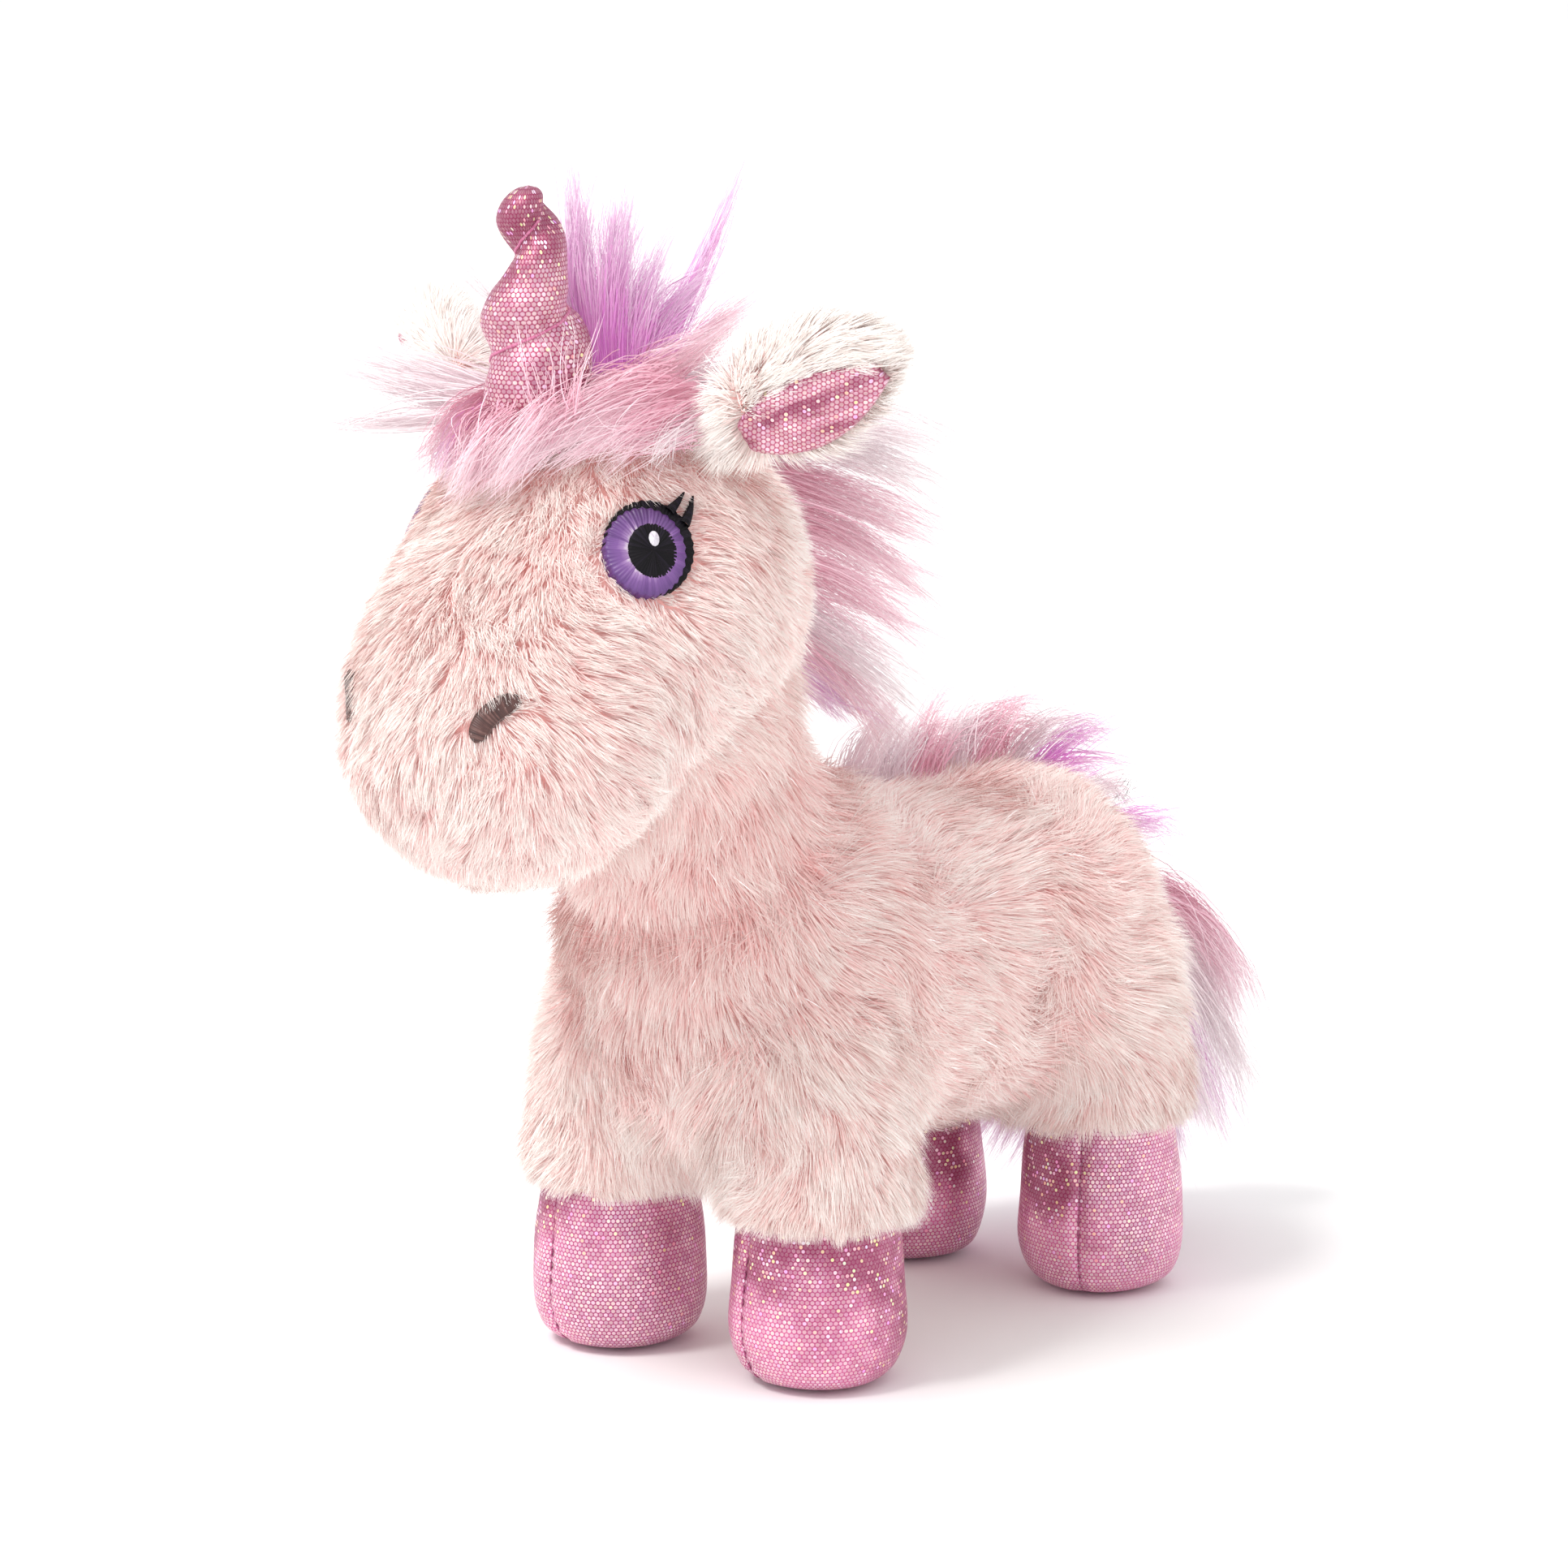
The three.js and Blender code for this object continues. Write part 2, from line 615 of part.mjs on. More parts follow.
// A stuffed cone with a half ball as its foot.
function hornSolid(inset) {
  const geometry = new THREE.SphereGeometry(1, 12, 18);
  geometry.rotateX(Math.PI / 2);
  const positions = geometry.attributes.position;
  for (let i = 0; i < positions.count; i += 1) {
    const unit = new THREE.Vector3().fromBufferAttribute(positions, i);
    const angle = Math.atan2(unit.y, unit.x);
    const height = Math.max(unit.z, 0);
    const t = 1 - Math.acos(height) / (Math.PI / 2);
    const round = unit.z > 0 ? 1 : Math.hypot(unit.x, unit.y);
    const edge = unit.z > 0.999 ? 0 : hornRadiusAt(t, angle) - inset;
    const radial = Math.max(edge, 0) * round;
    const along = unit.z > 0 ? t * (hornAxis.length() - inset) : unit.z * (hornRadius - inset);
    const place = point(radial * Math.cos(angle), radial * Math.sin(angle), along);
    place.applyQuaternion(hornTurn).add(hornFoot);
    positions.setXYZ(i, place.x, place.y, place.z);
  }
  return solidFrom(geometry);
}

// The strong thread that draws the spiral groove into the horn.
function hornThread() {
  const places = [];
  const steps = 24;
  for (let i = 0; i <= steps; i += 1) {
    const t = THREE.MathUtils.lerp(...threadEnds, i / steps);
    const angle = 2 * Math.PI * grooveTurns * t;
    const radial = hornRadiusAt(t, angle) + threadLift;
    const place = point(radial * Math.cos(angle), radial * Math.sin(angle), hornAxis.length() * t);
    places.push(place.applyQuaternion(hornTurn).add(hornFoot));
  }
  const extrudePath = new THREE.CatmullRomCurve3(places);
  const section = new THREE.Shape().absarc(0, 0, threadRadius, 0, 2 * Math.PI);
  return solidFrom(new THREE.ExtrudeGeometry(section, { steps: 26, extrudePath, curveSegments: 3 }));
}

function hornSocket() {
  const radius = hornRadius + socketGap;
  return wrapped(ball(hornFoot, [radius, radius, radius]), hornFoot, 0, plump, 14, 10);
}

const hornWhole = rod(hornFoot, hornTip.clone().addScaledVector(zAxis, -8), hornRadius, 7);
const bendingHorn = swept(hornWhole, xAxis, hornFoot, bothWays(hornBend));

function addHorn() {
  const opening = new THREE.CylinderGeometry(4.5, 4.5, 10, 12);
  opening.rotateX(Math.PI / 2);
  opening.translate(hornFoot.x, hornFoot.y, hornFoot.z - hornRadius);
  addPiece('horn_cover', hornSolid(0).subtract(hornSolid(foilCloth)).subtract(solidFrom(opening)), foil);
  addPiece('horn_stuffing', hornSolid(foilCloth + gap), filling);
  addPiece('horn_spiral_thread', hornThread(), pinkHair);
}

// ---------------------------------------------------------------- hair

// Locks of hair joined into one soft tuft, kept clear of what it stands on and of what moves by it.
function plume(locks, centre, obstacles, around, along) {
  const rods = locks.map(([root, tip, thick, thin]) => rod(root, tip, thick, thin));
  const clear = (shape, [other, clearance]) => clearOf(shape, other, clearance);
  return wrapped(obstacles.reduce(clear, soften(rods, 8)), centre, 0, plump, around, along);
}

function addHair() {
  const onHead = [[head, hairLift], [bendingHorn, hornRoom]];
  const tuft = plume(forelockLocks, point(0, -56, 228), onHead, 14, 12);
  addPiece('forelock_tuft', tuft, lilacHair);
  const fringe = plume(fringeLocks, point(0, -99, 206), onHead, 16, 10);
  addPiece('forelock_fringe', fringe, pinkHair);
  const crest = plume(crestLocks, point(0, -16, 184), [[head, hairLift], [noddingNeck, hairLift]], 12, 12);
  addPiece('mane_on_head', crest, pinkHair);
  const strip = plume(backLocks, point(0, 52, 127), [[body, hairLift], [liftingTail, hairLift]], 12, 14);
  addPiece('mane_on_back', strip, paleHair);
}

// ---------------------------------------------------------------- tail

function addTail() {
  const whole = wrapped(tail, tailMiddle, 0, plump, 14, 12);
  const tabLow = 76;
  const tab = block(point(-40, 60, tabLow), point(40, 150, 110));
  const rest = block(point(-40, 60, 0), point(40, 150, tabLow - gap));
  addPiece('tail_root_tab', whole.intersect(tab), cream);
  addPiece('tail_hair', whole.intersect(rest), paleHair);
}

// ---------------------------------------------------------------- the whole toy

addBody();
addNeck();
addHead();
addEye(1, 'left');
addEye(-1, 'right');
addNostril(1, 'left');
addNostril(-1, 'right');
addEar(1, 'left');
addEar(-1, 'right');
addHorn();
addHair();
addTail();
legPlaces.forEach(addLeg);

export default unicorn;
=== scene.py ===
"""A plush unicorn: stuffed cloth skins, strands of fur and long hair, foil hooves and horn, embroidery."""
import math
from collections import namedtuple

import bpy
import numpy as np
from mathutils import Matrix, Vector
from mathutils.bvhtree import BVHTree


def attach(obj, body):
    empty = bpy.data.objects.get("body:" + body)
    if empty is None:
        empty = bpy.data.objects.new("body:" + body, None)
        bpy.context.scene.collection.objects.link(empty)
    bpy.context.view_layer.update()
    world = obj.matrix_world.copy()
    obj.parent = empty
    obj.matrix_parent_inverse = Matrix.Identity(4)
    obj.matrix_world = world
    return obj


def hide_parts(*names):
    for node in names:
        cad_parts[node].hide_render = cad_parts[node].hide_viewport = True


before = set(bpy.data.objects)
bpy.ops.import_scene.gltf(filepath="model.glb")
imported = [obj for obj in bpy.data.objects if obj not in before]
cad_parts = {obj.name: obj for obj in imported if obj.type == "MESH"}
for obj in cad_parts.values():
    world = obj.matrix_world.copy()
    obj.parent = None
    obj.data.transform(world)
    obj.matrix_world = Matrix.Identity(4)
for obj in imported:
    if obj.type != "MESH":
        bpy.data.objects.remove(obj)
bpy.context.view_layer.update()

MM = 0.001

# ---- driving sizes, in millimetres

CENTRE_SHIFT = -3.5  # the frame moves every place of the design this far along Y
VOXEL = 2.2  # grain of the stuffed skins
SKIN_INSET = 3.0  # the cloth under the fur lies this far inside the outline
JOINT_REACH = 9.0  # the skins get thicker this near a neighbour
JOINT_BULGE = 0.45  # how far they swell past the outline where they touch, as a share of the inset
HIDDEN_DEPTH = 2.5  # no fur grows deeper than this inside a neighbour

LEGS = {
    "front_left": dict(x=26.2, hip_y=-30, foot_y=-28.5, hem=35, hem_radius=23, turn=-19),
    "front_right": dict(x=-26.2, hip_y=-34, foot_y=-35.1, hem=35, hem_radius=22, turn=-11),
    "hind_left": dict(x=25.3, hip_y=67, foot_y=69.1, hem=38, hem_radius=21.6, turn=23),
    "hind_right": dict(x=-25.3, hip_y=62, foot_y=59.9, hem=38, hem_radius=21.6, turn=-8),
}
HOOF_RADIUS = 18.8
HOOF_RIM = 0.87  # share of the radius at the upper edge
RIM_OVERLAP = 2.5  # of the foil under the fur's hem
TOE_STRETCH = 1.04  # how much longer the front half is
HOOF_BENDS = [(0.52, 0), (0.78, 1.6), (0.92, 5), (1.0, 12), (0.97, 23)]  # share of the radius, height

HORN_FOOT = np.array([0, -84 + CENTRE_SHIFT, 207])
HORN_HEIGHT = 47
HORN_TIP = HORN_FOOT + np.array([0, -2.5, HORN_HEIGHT])
HORN_RADIUS = 10.6
GROOVE_TURNS = 2.3

EYE = np.array([33, -86 + CENTRE_SHIFT, 184.5])
EYE_SIZE = (17.6, 19.0)
PUPIL_HALF = (4.9, 5.5)
GLINT_HALF = (1.05, 1.55)
LASH_LINES = [[(4.6, 7.0), (6.8, 8.8), (8.4, 10.8)], [(7.4, 4.2), (9.2, 6.6), (10.2, 10.0)]]
NOSTRIL = np.array([22, -119 + CENTRE_SHIFT, 152.5])
NOSTRIL_LENGTH = 10.5
NOSTRIL_WIDTH = 4.3

EAR_ROOT = np.array([35, -67 + CENTRE_SHIFT, 208])
EAR_TIP = np.array([66.5, -54 + CENTRE_SHIFT, 222.5])
EAR_FACING = np.array([0.44, -0.85, -0.28])
EAR_WIDTH = 28
EAR_LENGTH = float(np.linalg.norm(EAR_TIP - EAR_ROOT))
EAR_SEAM = 6.0  # this much of the ear is drawn towards the head
EAR_DROP = -2.0  # how far the foil lining is below the ear's middle

DOT_PITCH = 1.04  # between the silver dots of the foil
DOT_RADIUS = 0.3432
BUMP_DEPTH = 0.0002  # metres

MOST_STRANDS = 39500  # in one piece
TUFT_SIZE = 6.4  # the fur leans together in tufts, and each tuft in wisps
WISP_SIZE = 2.4
SPARKLE_SHARE = 0.01  # of the strands
HAIR_WIDTH = 0.3
FLOOR_CLEARANCE = 1.0  # between the tail's hair and what the toy stands on
HAIR_REACH = 144.5  # no hair is further back than this

KEY_AZIMUTH = -12
KEY_ELEVATION = 56
KEY_SPREAD = 18  # degrees
CAMERA_AZIMUTH = 42.17
CAMERA_ELEVATION = 10.18
CAMERA_DISTANCE = 1002.9
CAMERA_LENS = 106.54
CAMERA_TARGET = (-1.10, -13.08, 122.64)


# ---- camera, lights and floor


def direction_at(azimuth, elevation):
    a, e = math.radians(azimuth), math.radians(elevation)
    return Vector((math.sin(a) * math.cos(e), -math.cos(a) * math.cos(e), math.sin(e)))


def placed(name, data):
    thing = bpy.data.objects.new(name, data)
    bpy.context.scene.collection.objects.link(thing)
    return thing


def aimed_from(name, data, middle, direction, distance):
    """A camera or lamp that looks at the middle from a distance in millimetres."""
    thing = placed(name, data)
    thing.location = middle + direction * distance * MM
    thing.rotation_euler = (-direction).to_track_quat("-Z", "Y").to_euler()
    return thing


def add_camera():
    data = bpy.data.cameras.new("camera")
    data.lens = CAMERA_LENS
    data.sensor_width = 36
    data.clip_start, data.clip_end = 0.05, 20
    direction = direction_at(CAMERA_AZIMUTH, CAMERA_ELEVATION)
    camera = aimed_from("camera", data, Vector(CAMERA_TARGET) * MM, direction, CAMERA_DISTANCE)
    bpy.context.scene.camera = camera


def add_studio():
    scene = bpy.context.scene
    scene.view_settings.view_transform = "Standard"
    scene.world = bpy.data.worlds.new("studio")
    scene.world.use_nodes = True
    back = scene.world.node_tree.nodes["Background"]
    back.inputs["Color"].default_value = (1, 1, 1, 1)
    back.inputs["Strength"].default_value = 1.02
    sun = bpy.data.lights.new("key", "SUN")
    sun.angle = math.radians(KEY_SPREAD)
    sun.energy, sun.color = 1.8, (1.0, 0.985, 0.965)
    aimed_from("key", sun, Vector(), direction_at(KEY_AZIMUTH, KEY_ELEVATION), 2000)
    side = 40  # metres
    mesh = bpy.data.meshes.new("floor")
    corners = [(-side, -side, 0), (side, -side, 0), (side, side, 0), (-side, side, 0)]
    mesh.from_pydata(corners, [], [(0, 1, 2, 3)])
    grey = (0.93, 0.93, 0.93, 1)
    paper = Recipe("floor_paper").finish(Base_Color=grey, Roughness=0.9, Specular_IOR_Level=0.1)
    mesh.materials.append(paper)
    floor = placed("floor", mesh)
    floor.location.z = -0.0004


# ---- materials


def linear(red, green, blue):
    """The colour on screen with these values, 0 to 255, as linear light."""
    def channel(value):
        value /= 255
        return value / 12.92 if value <= 0.04045 else ((value + 0.055) / 1.055) ** 2.4

    return (channel(red), channel(green), channel(blue), 1)


class Recipe:
    """Builds a material's node tree in short lines."""

    def __init__(self, name):
        self.material = bpy.data.materials.new(name)
        self.material.use_nodes = True
        self.nodes, self.links = self.material.node_tree.nodes, self.material.node_tree.links

    def node(self, kind, **settings):
        node = self.nodes.new(kind)
        for key, value in settings.items():
            setattr(node, key, value)
        return node

    def feed(self, node, **inputs):
        """Sets or links sockets: i0 is the first one, and an underscore in a name stands for a space."""
        for key, value in inputs.items():
            numbered = key[0] == "i" and key[1:].isdigit()
            socket = node.inputs[int(key[1:]) if numbered else key.replace("_", " ")]
            if isinstance(value, bpy.types.NodeSocket):
                self.links.new(value, socket)
            else:
                socket.default_value = value
        return node

    def finish(self, **inputs):
        self.feed(self.nodes["Principled BSDF"], **inputs)
        return self.material

    def math(self, operation, a, b=0.0, clamp=False):
        node = self.node("ShaderNodeMath", operation=operation, use_clamp=clamp)
        return self.feed(node, i0=a, i1=b).outputs[0]

    def plus(self, a, b, clamp=False):
        return self.math("ADD", a, b, clamp)

    def minus(self, a, b, clamp=False):
        return self.math("SUBTRACT", a, b, clamp)

    def times(self, a, b, clamp=False):
        return self.math("MULTIPLY", a, b, clamp)

    def vector(self, operation, a, b=(0, 0, 0)):
        node = self.feed(self.node("ShaderNodeVectorMath", operation=operation), i0=a, i1=b)
        return node.outputs["Value" if operation == "LENGTH" else "Vector"]

    def cloth(self):
        return self.node("ShaderNodeUVMap", uv_map="cloth").outputs["UV"]

    def place(self):
        return self.node("ShaderNodeTexCoord").outputs["Object"]

    def parts(self, vector):
        return self.feed(self.node("ShaderNodeSeparateXYZ"), i0=vector).outputs

    def random(self, dimensions, **inputs):
        """A random Value and Color for each whole number or cell."""
        return self.feed(self.node("ShaderNodeTexWhiteNoise", noise_dimensions=dimensions), **inputs).outputs

    def noise(self, vector, scale, detail=2.0, roughness=0.5):
        node = self.node("ShaderNodeTexNoise")
        return self.feed(node, Vector=vector, Scale=scale, Detail=detail, Roughness=roughness).outputs["Fac"]

    def ramp(self, value, stops):
        node = self.feed(self.node("ShaderNodeValToRGB"), Fac=value)
        elements = node.color_ramp.elements
        while len(elements) < len(stops):
            elements.new(0.5)
        for element, (position, colour) in zip(elements, stops):
            element.position = position
            element.color = linear(*colour)
        return node.outputs["Color"]

    def mix(self, share, a, b):
        node = self.node("ShaderNodeMix", data_type="RGBA")
        return self.feed(node, Factor=share, i6=a, i7=b).outputs[2]

    def bump(self, height, strength, distance):
        node = self.node("ShaderNodeBump")
        return self.feed(node, Height=height, Strength=strength, Distance=distance).outputs["Normal"]


def strand_material(name, colour, glow, depth=1.1, roughness=0.6, specular=0.3):
    """One level of a strand. Light that scatters through the fibres is painted as a faint glow, an emission
    deeper than the surface colour, which also lifts the fur's shade. The colours of fur come from how levels
    and strands of different ones mix."""
    surface = linear(*colour)
    return Recipe(name).finish(
        Base_Color=surface,
        Emission_Color=tuple(channel ** depth for channel in surface[:3]) + (1,),
        Emission_Strength=glow,
        Roughness=roughness,
        Specular_IOR_Level=specular,
    )


def backing_material():
    """The knitted backing under the fur, seen only where the fur parts."""
    r = Recipe("fur_backing")
    place = r.place()
    return r.finish(
        Base_Color=r.ramp(r.noise(place, 60, 3), [(0.3, (232, 172, 168)), (0.7, (238, 190, 185))]),
        # a painted glow that lifts the shade of the backing between the strands
        Emission_Color=linear(235, 181, 176),
        Emission_Strength=0.12,
        Roughness=0.95,
        Specular_IOR_Level=0.1,
        Normal=r.bump(r.noise(place, 900, 1), 0.5, 2 * BUMP_DEPTH),
    )


def foil_material(name, pink, deep, shadow=0.0, folds=False):
    """Foil cloth: rows of silver dots, each with its own painted glint and tint, on pink. Wide patches are
    painted reflection, deep pink as if from an unlit room, full of painted coloured glints. The larger the
    shadow, the wider they are."""
    r = Recipe(name)
    flat, place = r.cloth(), r.place()
    row_spacing = math.sqrt(3)  # of every second row, in dot pitches
    grid = r.vector("MULTIPLY", flat, (1 / DOT_PITCH, 1 / (DOT_PITCH * row_spacing), 0))
    dots, cells = [], []
    for shift in ((0, 0, 0), (0.5, 0.5, 0)):
        moved = r.vector("ADD", grid, shift)
        inside = r.vector("SUBTRACT", r.vector("FRACTION", moved), (0.5, 0.5, 0))
        from_middle = r.vector("LENGTH", r.vector("MULTIPLY", inside, (1, row_spacing, 0)))
        outside = r.times(r.minus(from_middle, DOT_RADIUS / DOT_PITCH), 6, True)
        dots.append(r.minus(1, outside, True))
        cell = r.vector("ADD", r.vector("FLOOR", moved), tuple(10 * s for s in shift))
        cells.append(r.random("3D", Vector=cell))
    dot = r.math("MAXIMUM", *dots)
    value = r.plus(r.times(cells[0]["Value"], dots[0]), r.times(cells[1]["Value"], dots[1]))
    tint = r.mix(dots[1], cells[0]["Color"], cells[1]["Color"])
    fine = r.noise(place, 2400, 2, 0.8)
    pale = tuple(min(255, c + 16) for c in pink)
    base = r.ramp(r.noise(place, 38, 2, 0.4), [(0.36, deep), (0.5, pink), (0.66, pale)])
    height = r.parts(flat)["Y"]
    # painted reflection: the foil gets deeper in colour towards the top
    upper = r.times(r.minus(height, 24), 1 / 22, True)
    # painted shade along the folds of folded foil, otherwise patches of painted reflection
    if folds:
        shadows = r.noise(r.vector("MULTIPLY", flat, (0.05, 0.24, 0)), 1, 3)
    else:
        shadows = r.noise(place, 34, 3, 0.6)
    # painted shade on a hoof's underside near the sole; on the horn, with its larger shadow, painted light
    # near the foot
    sole = r.times(r.minus(14, height), 0 if folds else 0.03, True)
    patchy = r.plus(r.plus(shadows, r.times(upper, 0.17)), r.times(sole, 0.1 - shadow))
    # where the foil is painted deep pink: painted reflection and painted shade
    painted_reflection_and_shade = r.times(r.minus(patchy, 0.55 - shadow), 5.5, True)
    base = r.mix(r.times(painted_reflection_and_shade, 0.85), base, linear(140, 36, 82))
    speck = r.times(r.minus(fine, 0.6), 7, True)
    base = r.mix(r.times(speck, 0.45), base, linear(255, 214, 232))
    silver = r.mix(0.12, linear(252, 228, 236), tint)
    bright = r.plus(r.times(value, 0.5), 0.46)
    # the dots dim in the painted reflection and shade
    dimmed = r.minus(1, r.times(painted_reflection_and_shade, 0.75))
    shown_dot = r.times(r.times(dot, bright), dimmed)
    # painted glints: a few dots, more of them in the painted reflection, are painted near white in their own
    # tint
    painted_glint = r.math("GREATER_THAN", r.plus(value, r.times(painted_reflection_and_shade, 0.2)), 0.96)
    painted_glint_colour = r.mix(0.6, linear(255, 255, 255), tint)
    return r.finish(
        Base_Color=r.mix(r.times(r.times(painted_glint, dot), 0.9), r.mix(shown_dot, base, silver), painted_glint_colour),
        Roughness=r.minus(0.5, r.times(shown_dot, 0.16)),
        Metallic=0.5,
        Coat_Weight=0.12,
        Coat_Roughness=0.25,
        Normal=r.bump(r.plus(r.times(dot, 0.6), r.times(fine, 0.5)), 0.35, BUMP_DEPTH),
    )


def thread_material(name, colours, roughness=0.45, sheen=0.15):
    """Embroidery: satin stitches a thread wide, side by side along the UV map's first direction."""
    r = Recipe(name)
    flat = r.cloth()
    thread = r.times(r.parts(flat)["X"], 2.6)
    own = r.random("1D", W=r.math("FLOOR", thread))["Value"]
    value = r.plus(r.times(own, 0.5), r.times(r.noise(flat, 0.6, 2), 0.5))
    return r.finish(
        Base_Color=r.ramp(value, list(zip((0.2, 0.55, 0.85), colours))),
        Roughness=roughness,
        Specular_IOR_Level=0.2 + 2 * sheen,
        Sheen_Weight=sheen,
        Normal=r.bump(r.math("SINE", r.times(thread, math.tau)), 0.35, 0.75 * BUMP_DEPTH),
    )


def iris_material():
    """Purple thread from the pupil outwards: pale round the pupil, and darker under the upper lid."""
    r = Recipe("iris_thread")
    flat = r.parts(r.cloth())
    thread = r.times(flat["X"], 2.4)
    own = r.random("1D", W=r.math("FLOOR", thread))["Value"]
    ragged = r.times(r.minus(own, 0.5), 0.4)
    stops = [(0.0, (224, 204, 228)), (0.16, (168, 130, 186)), (0.45, (126, 84, 152)), (0.95, (98, 58, 126))]
    lit = r.ramp(r.plus(flat["Y"], ragged), stops)
    height = r.times(r.minus(r.parts(r.place())["Z"], EYE[2] * MM), 1 / (9 * MM))
    lid = r.plus(r.times(height, 0.9), r.times(ragged, 0.8), True)
    return r.finish(
        Base_Color=r.mix(r.times(lid, 0.75), lit, linear(72, 46, 88)),
        Roughness=0.4,
        Normal=r.bump(r.math("SINE", r.times(thread, math.tau)), 0.5, BUMP_DEPTH),
    )


# ---- meshes


def shown(name, mesh, body, *stands_for, slot):
    piece = placed(name, mesh)
    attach(piece, body)
    if stands_for:
        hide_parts(*stands_for)
    return piece


def read(items, attribute, kind=float):
    """Three numbers from each item, as rows."""
    values = np.zeros(len(items) * 3, kind)
    items.foreach_get(attribute, values)
    return values.reshape(-1, 3)


def joined_mesh(nodes):
    """The CAD solids of these nodes as one mesh."""
    places, faces, start = [], [], 0
    for node in nodes:
        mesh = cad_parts[node].data
        places.append(read(mesh.vertices, "co"))
        faces += [[start + i for i in p.vertices] for p in mesh.polygons]
        start += len(mesh.vertices)
    mesh = bpy.data.meshes.new("joined")
    mesh.from_pydata(np.concatenate(places).tolist(), [], faces)
    return mesh


def evaluated(piece):
    graph = bpy.context.evaluated_depsgraph_get()
    return bpy.data.meshes.new_from_object(piece.evaluated_get(graph))


def vertex_arrays(mesh):
    """Vertices in millimetres, their normals, and triangles."""
    mesh.calc_loop_triangles()
    places, normals = read(mesh.vertices, "co") / MM, read(mesh.vertex_normals, "vector")
    return places, normals, read(mesh.loop_triangles, "vertices", int)


def stuffed_shape(nodes):
    """One smooth closed skin round a body's cloth and stuffing, without loose crumbs."""
    source = placed("stuffed", joined_mesh(nodes))
    remesh = source.modifiers.new("grain", "REMESH")
    remesh.mode, remesh.voxel_size = "VOXEL", VOXEL * MM
    smooth = source.modifiers.new("smooth", "SMOOTH")
    smooth.factor, smooth.iterations = 0.5, 8
    mesh = evaluated(source)
    bpy.data.objects.remove(source)
    places, _, triangles = vertex_arrays(mesh)
    group = np.arange(len(places))
    while True:
        low = group[triangles].min(1)
        before = group.copy()
        for column in range(3):
            np.minimum.at(group, triangles[:, column], low)
        if (before == group).all():
            break
    kept = np.bincount(group[triangles[:, 0]]).argmax()
    number = np.cumsum(group == kept) - 1
    faces = number[triangles[group[triangles[:, 0]] == kept]]
    clean = bpy.data.meshes.new("skin")
    clean.from_pydata((places[group == kept] * MM).tolist(), [], faces.tolist())
    clean.shade_smooth()
    return clean


def tree_of(mesh):
    places, _, triangles = vertex_arrays(mesh)
    return BVHTree.FromPolygons(places.tolist(), triangles.tolist())


def depths(tree, places, reach=60.0):
    """How far each place is outside the tree's closed surface; negative inside."""
    result = np.full(len(places), reach)
    for i, place in enumerate(places):
        near, normal, _, distance = tree.find_nearest(place, reach)
        if near is not None:
            side = (Vector(place) - near).dot(normal)
            result[i] = distance if side > 0 else -distance
    return result


# ---- the stuffed skins

SKINS = {
    "head": ["head_left_panel", "head_right_panel", "head_centre_gusset", "head_stuffing"],
    "neck": ["neck_sleeve", "neck_stuffing"],
    "torso": ["body_left_panel", "body_right_panel", "belly_gusset", "body_stuffing"],
    "left_ear": ["left_ear_outer"],
    "right_ear": ["right_ear_outer"],
    "tail": ["tail_root_tab"],
}
SKINS.update({f"{leg}_leg": [f"{leg}_leg_sleeve", f"{leg}_leg_stuffing"] for leg in LEGS})
THIN = {"left_ear": 2.2, "right_ear": 2.2, "tail": 1.5}


def sewn_in(places, side, head):
    """An ear with its root drawn into the head."""
    root = mirrored(EAR_ROOT, side)
    inward = -np.array(head.find_nearest(Vector(root))[1])
    return places + inward * np.clip(EAR_SEAM - from_ear_root(places, side), 0, EAR_SEAM)[:, None]


def make_skins():
    """Each body's skin with how close each of its vertices is to a neighbour, from 0 to 1 where they touch,
    and the outlines as trees. A skin lies inside its outline, and bulges to fill the crease at a joint."""
    shapes = {name: stuffed_shape(nodes) for name, nodes in SKINS.items()}
    trees = {name: tree_of(mesh) for name, mesh in shapes.items()}
    skins = {}
    for name, mesh in shapes.items():
        places, normals, _ = vertex_arrays(mesh)
        near = np.full(len(places), JOINT_REACH)
        for other, tree in trees.items():
            if other != name:
                near = np.minimum(near, np.maximum(depths(tree, places.tolist(), JOINT_REACH), 0))
        closeness = 1 - near / JOINT_REACH
        inset = THIN.get(name, SKIN_INSET) * (1 - (1 + JOINT_BULGE) * closeness)
        moved = places - normals * inset[:, None]
        if name.endswith("_ear"):
            moved = sewn_in(moved, 1 if name == "left_ear" else -1, trees["head"])
        moved *= MM
        mesh.vertices.foreach_set("co", moved.ravel())
        mesh.update()
        skins[name] = (mesh, closeness)
    return skins, trees


# ---- flat frames on the soft shapes


class Frame(namedtuple("Frame", "place across up out tree")):
    """A flat frame laid on a soft shape: across, up and out of it, in millimetres."""

    def flat(self, places):
        """(across, up, out) of each place in this frame."""
        offset = places - self.place
        return offset @ self.across, offset @ self.up, offset @ self.out

    def point(self, u, v, lift):
        """The place on the shape under (u, v), lifted off it."""
        start = self.place + u * self.across + v * self.up + 25 * self.out
        hit = self.tree.ray_cast(Vector(start), Vector(-self.out), 60)[0]
        landed = np.array(hit) if hit else start - 25 * self.out
        return landed + lift * self.out


NORMAL_STEPS = 4 * [(1, 0, 0), (0, 1, 0), (0, 0, 1)] + [(-4, 0, 0), (0, -4, 0), (0, 0, -4)]


def surface_frame(tree, place):
    """A frame on a surface. Its normal is a mean over nearby places, so that no small bump tilts it."""
    near, normal, _, _ = tree.find_nearest(Vector(place))
    around = [tree.find_nearest(near + Vector(step))[1] for step in NORMAL_STEPS]
    out = unit(np.array(sum(around, normal)))
    across = unit(np.cross([0, 0, 1], out))
    return Frame(np.array(near), across, np.cross(out, across), out, tree)


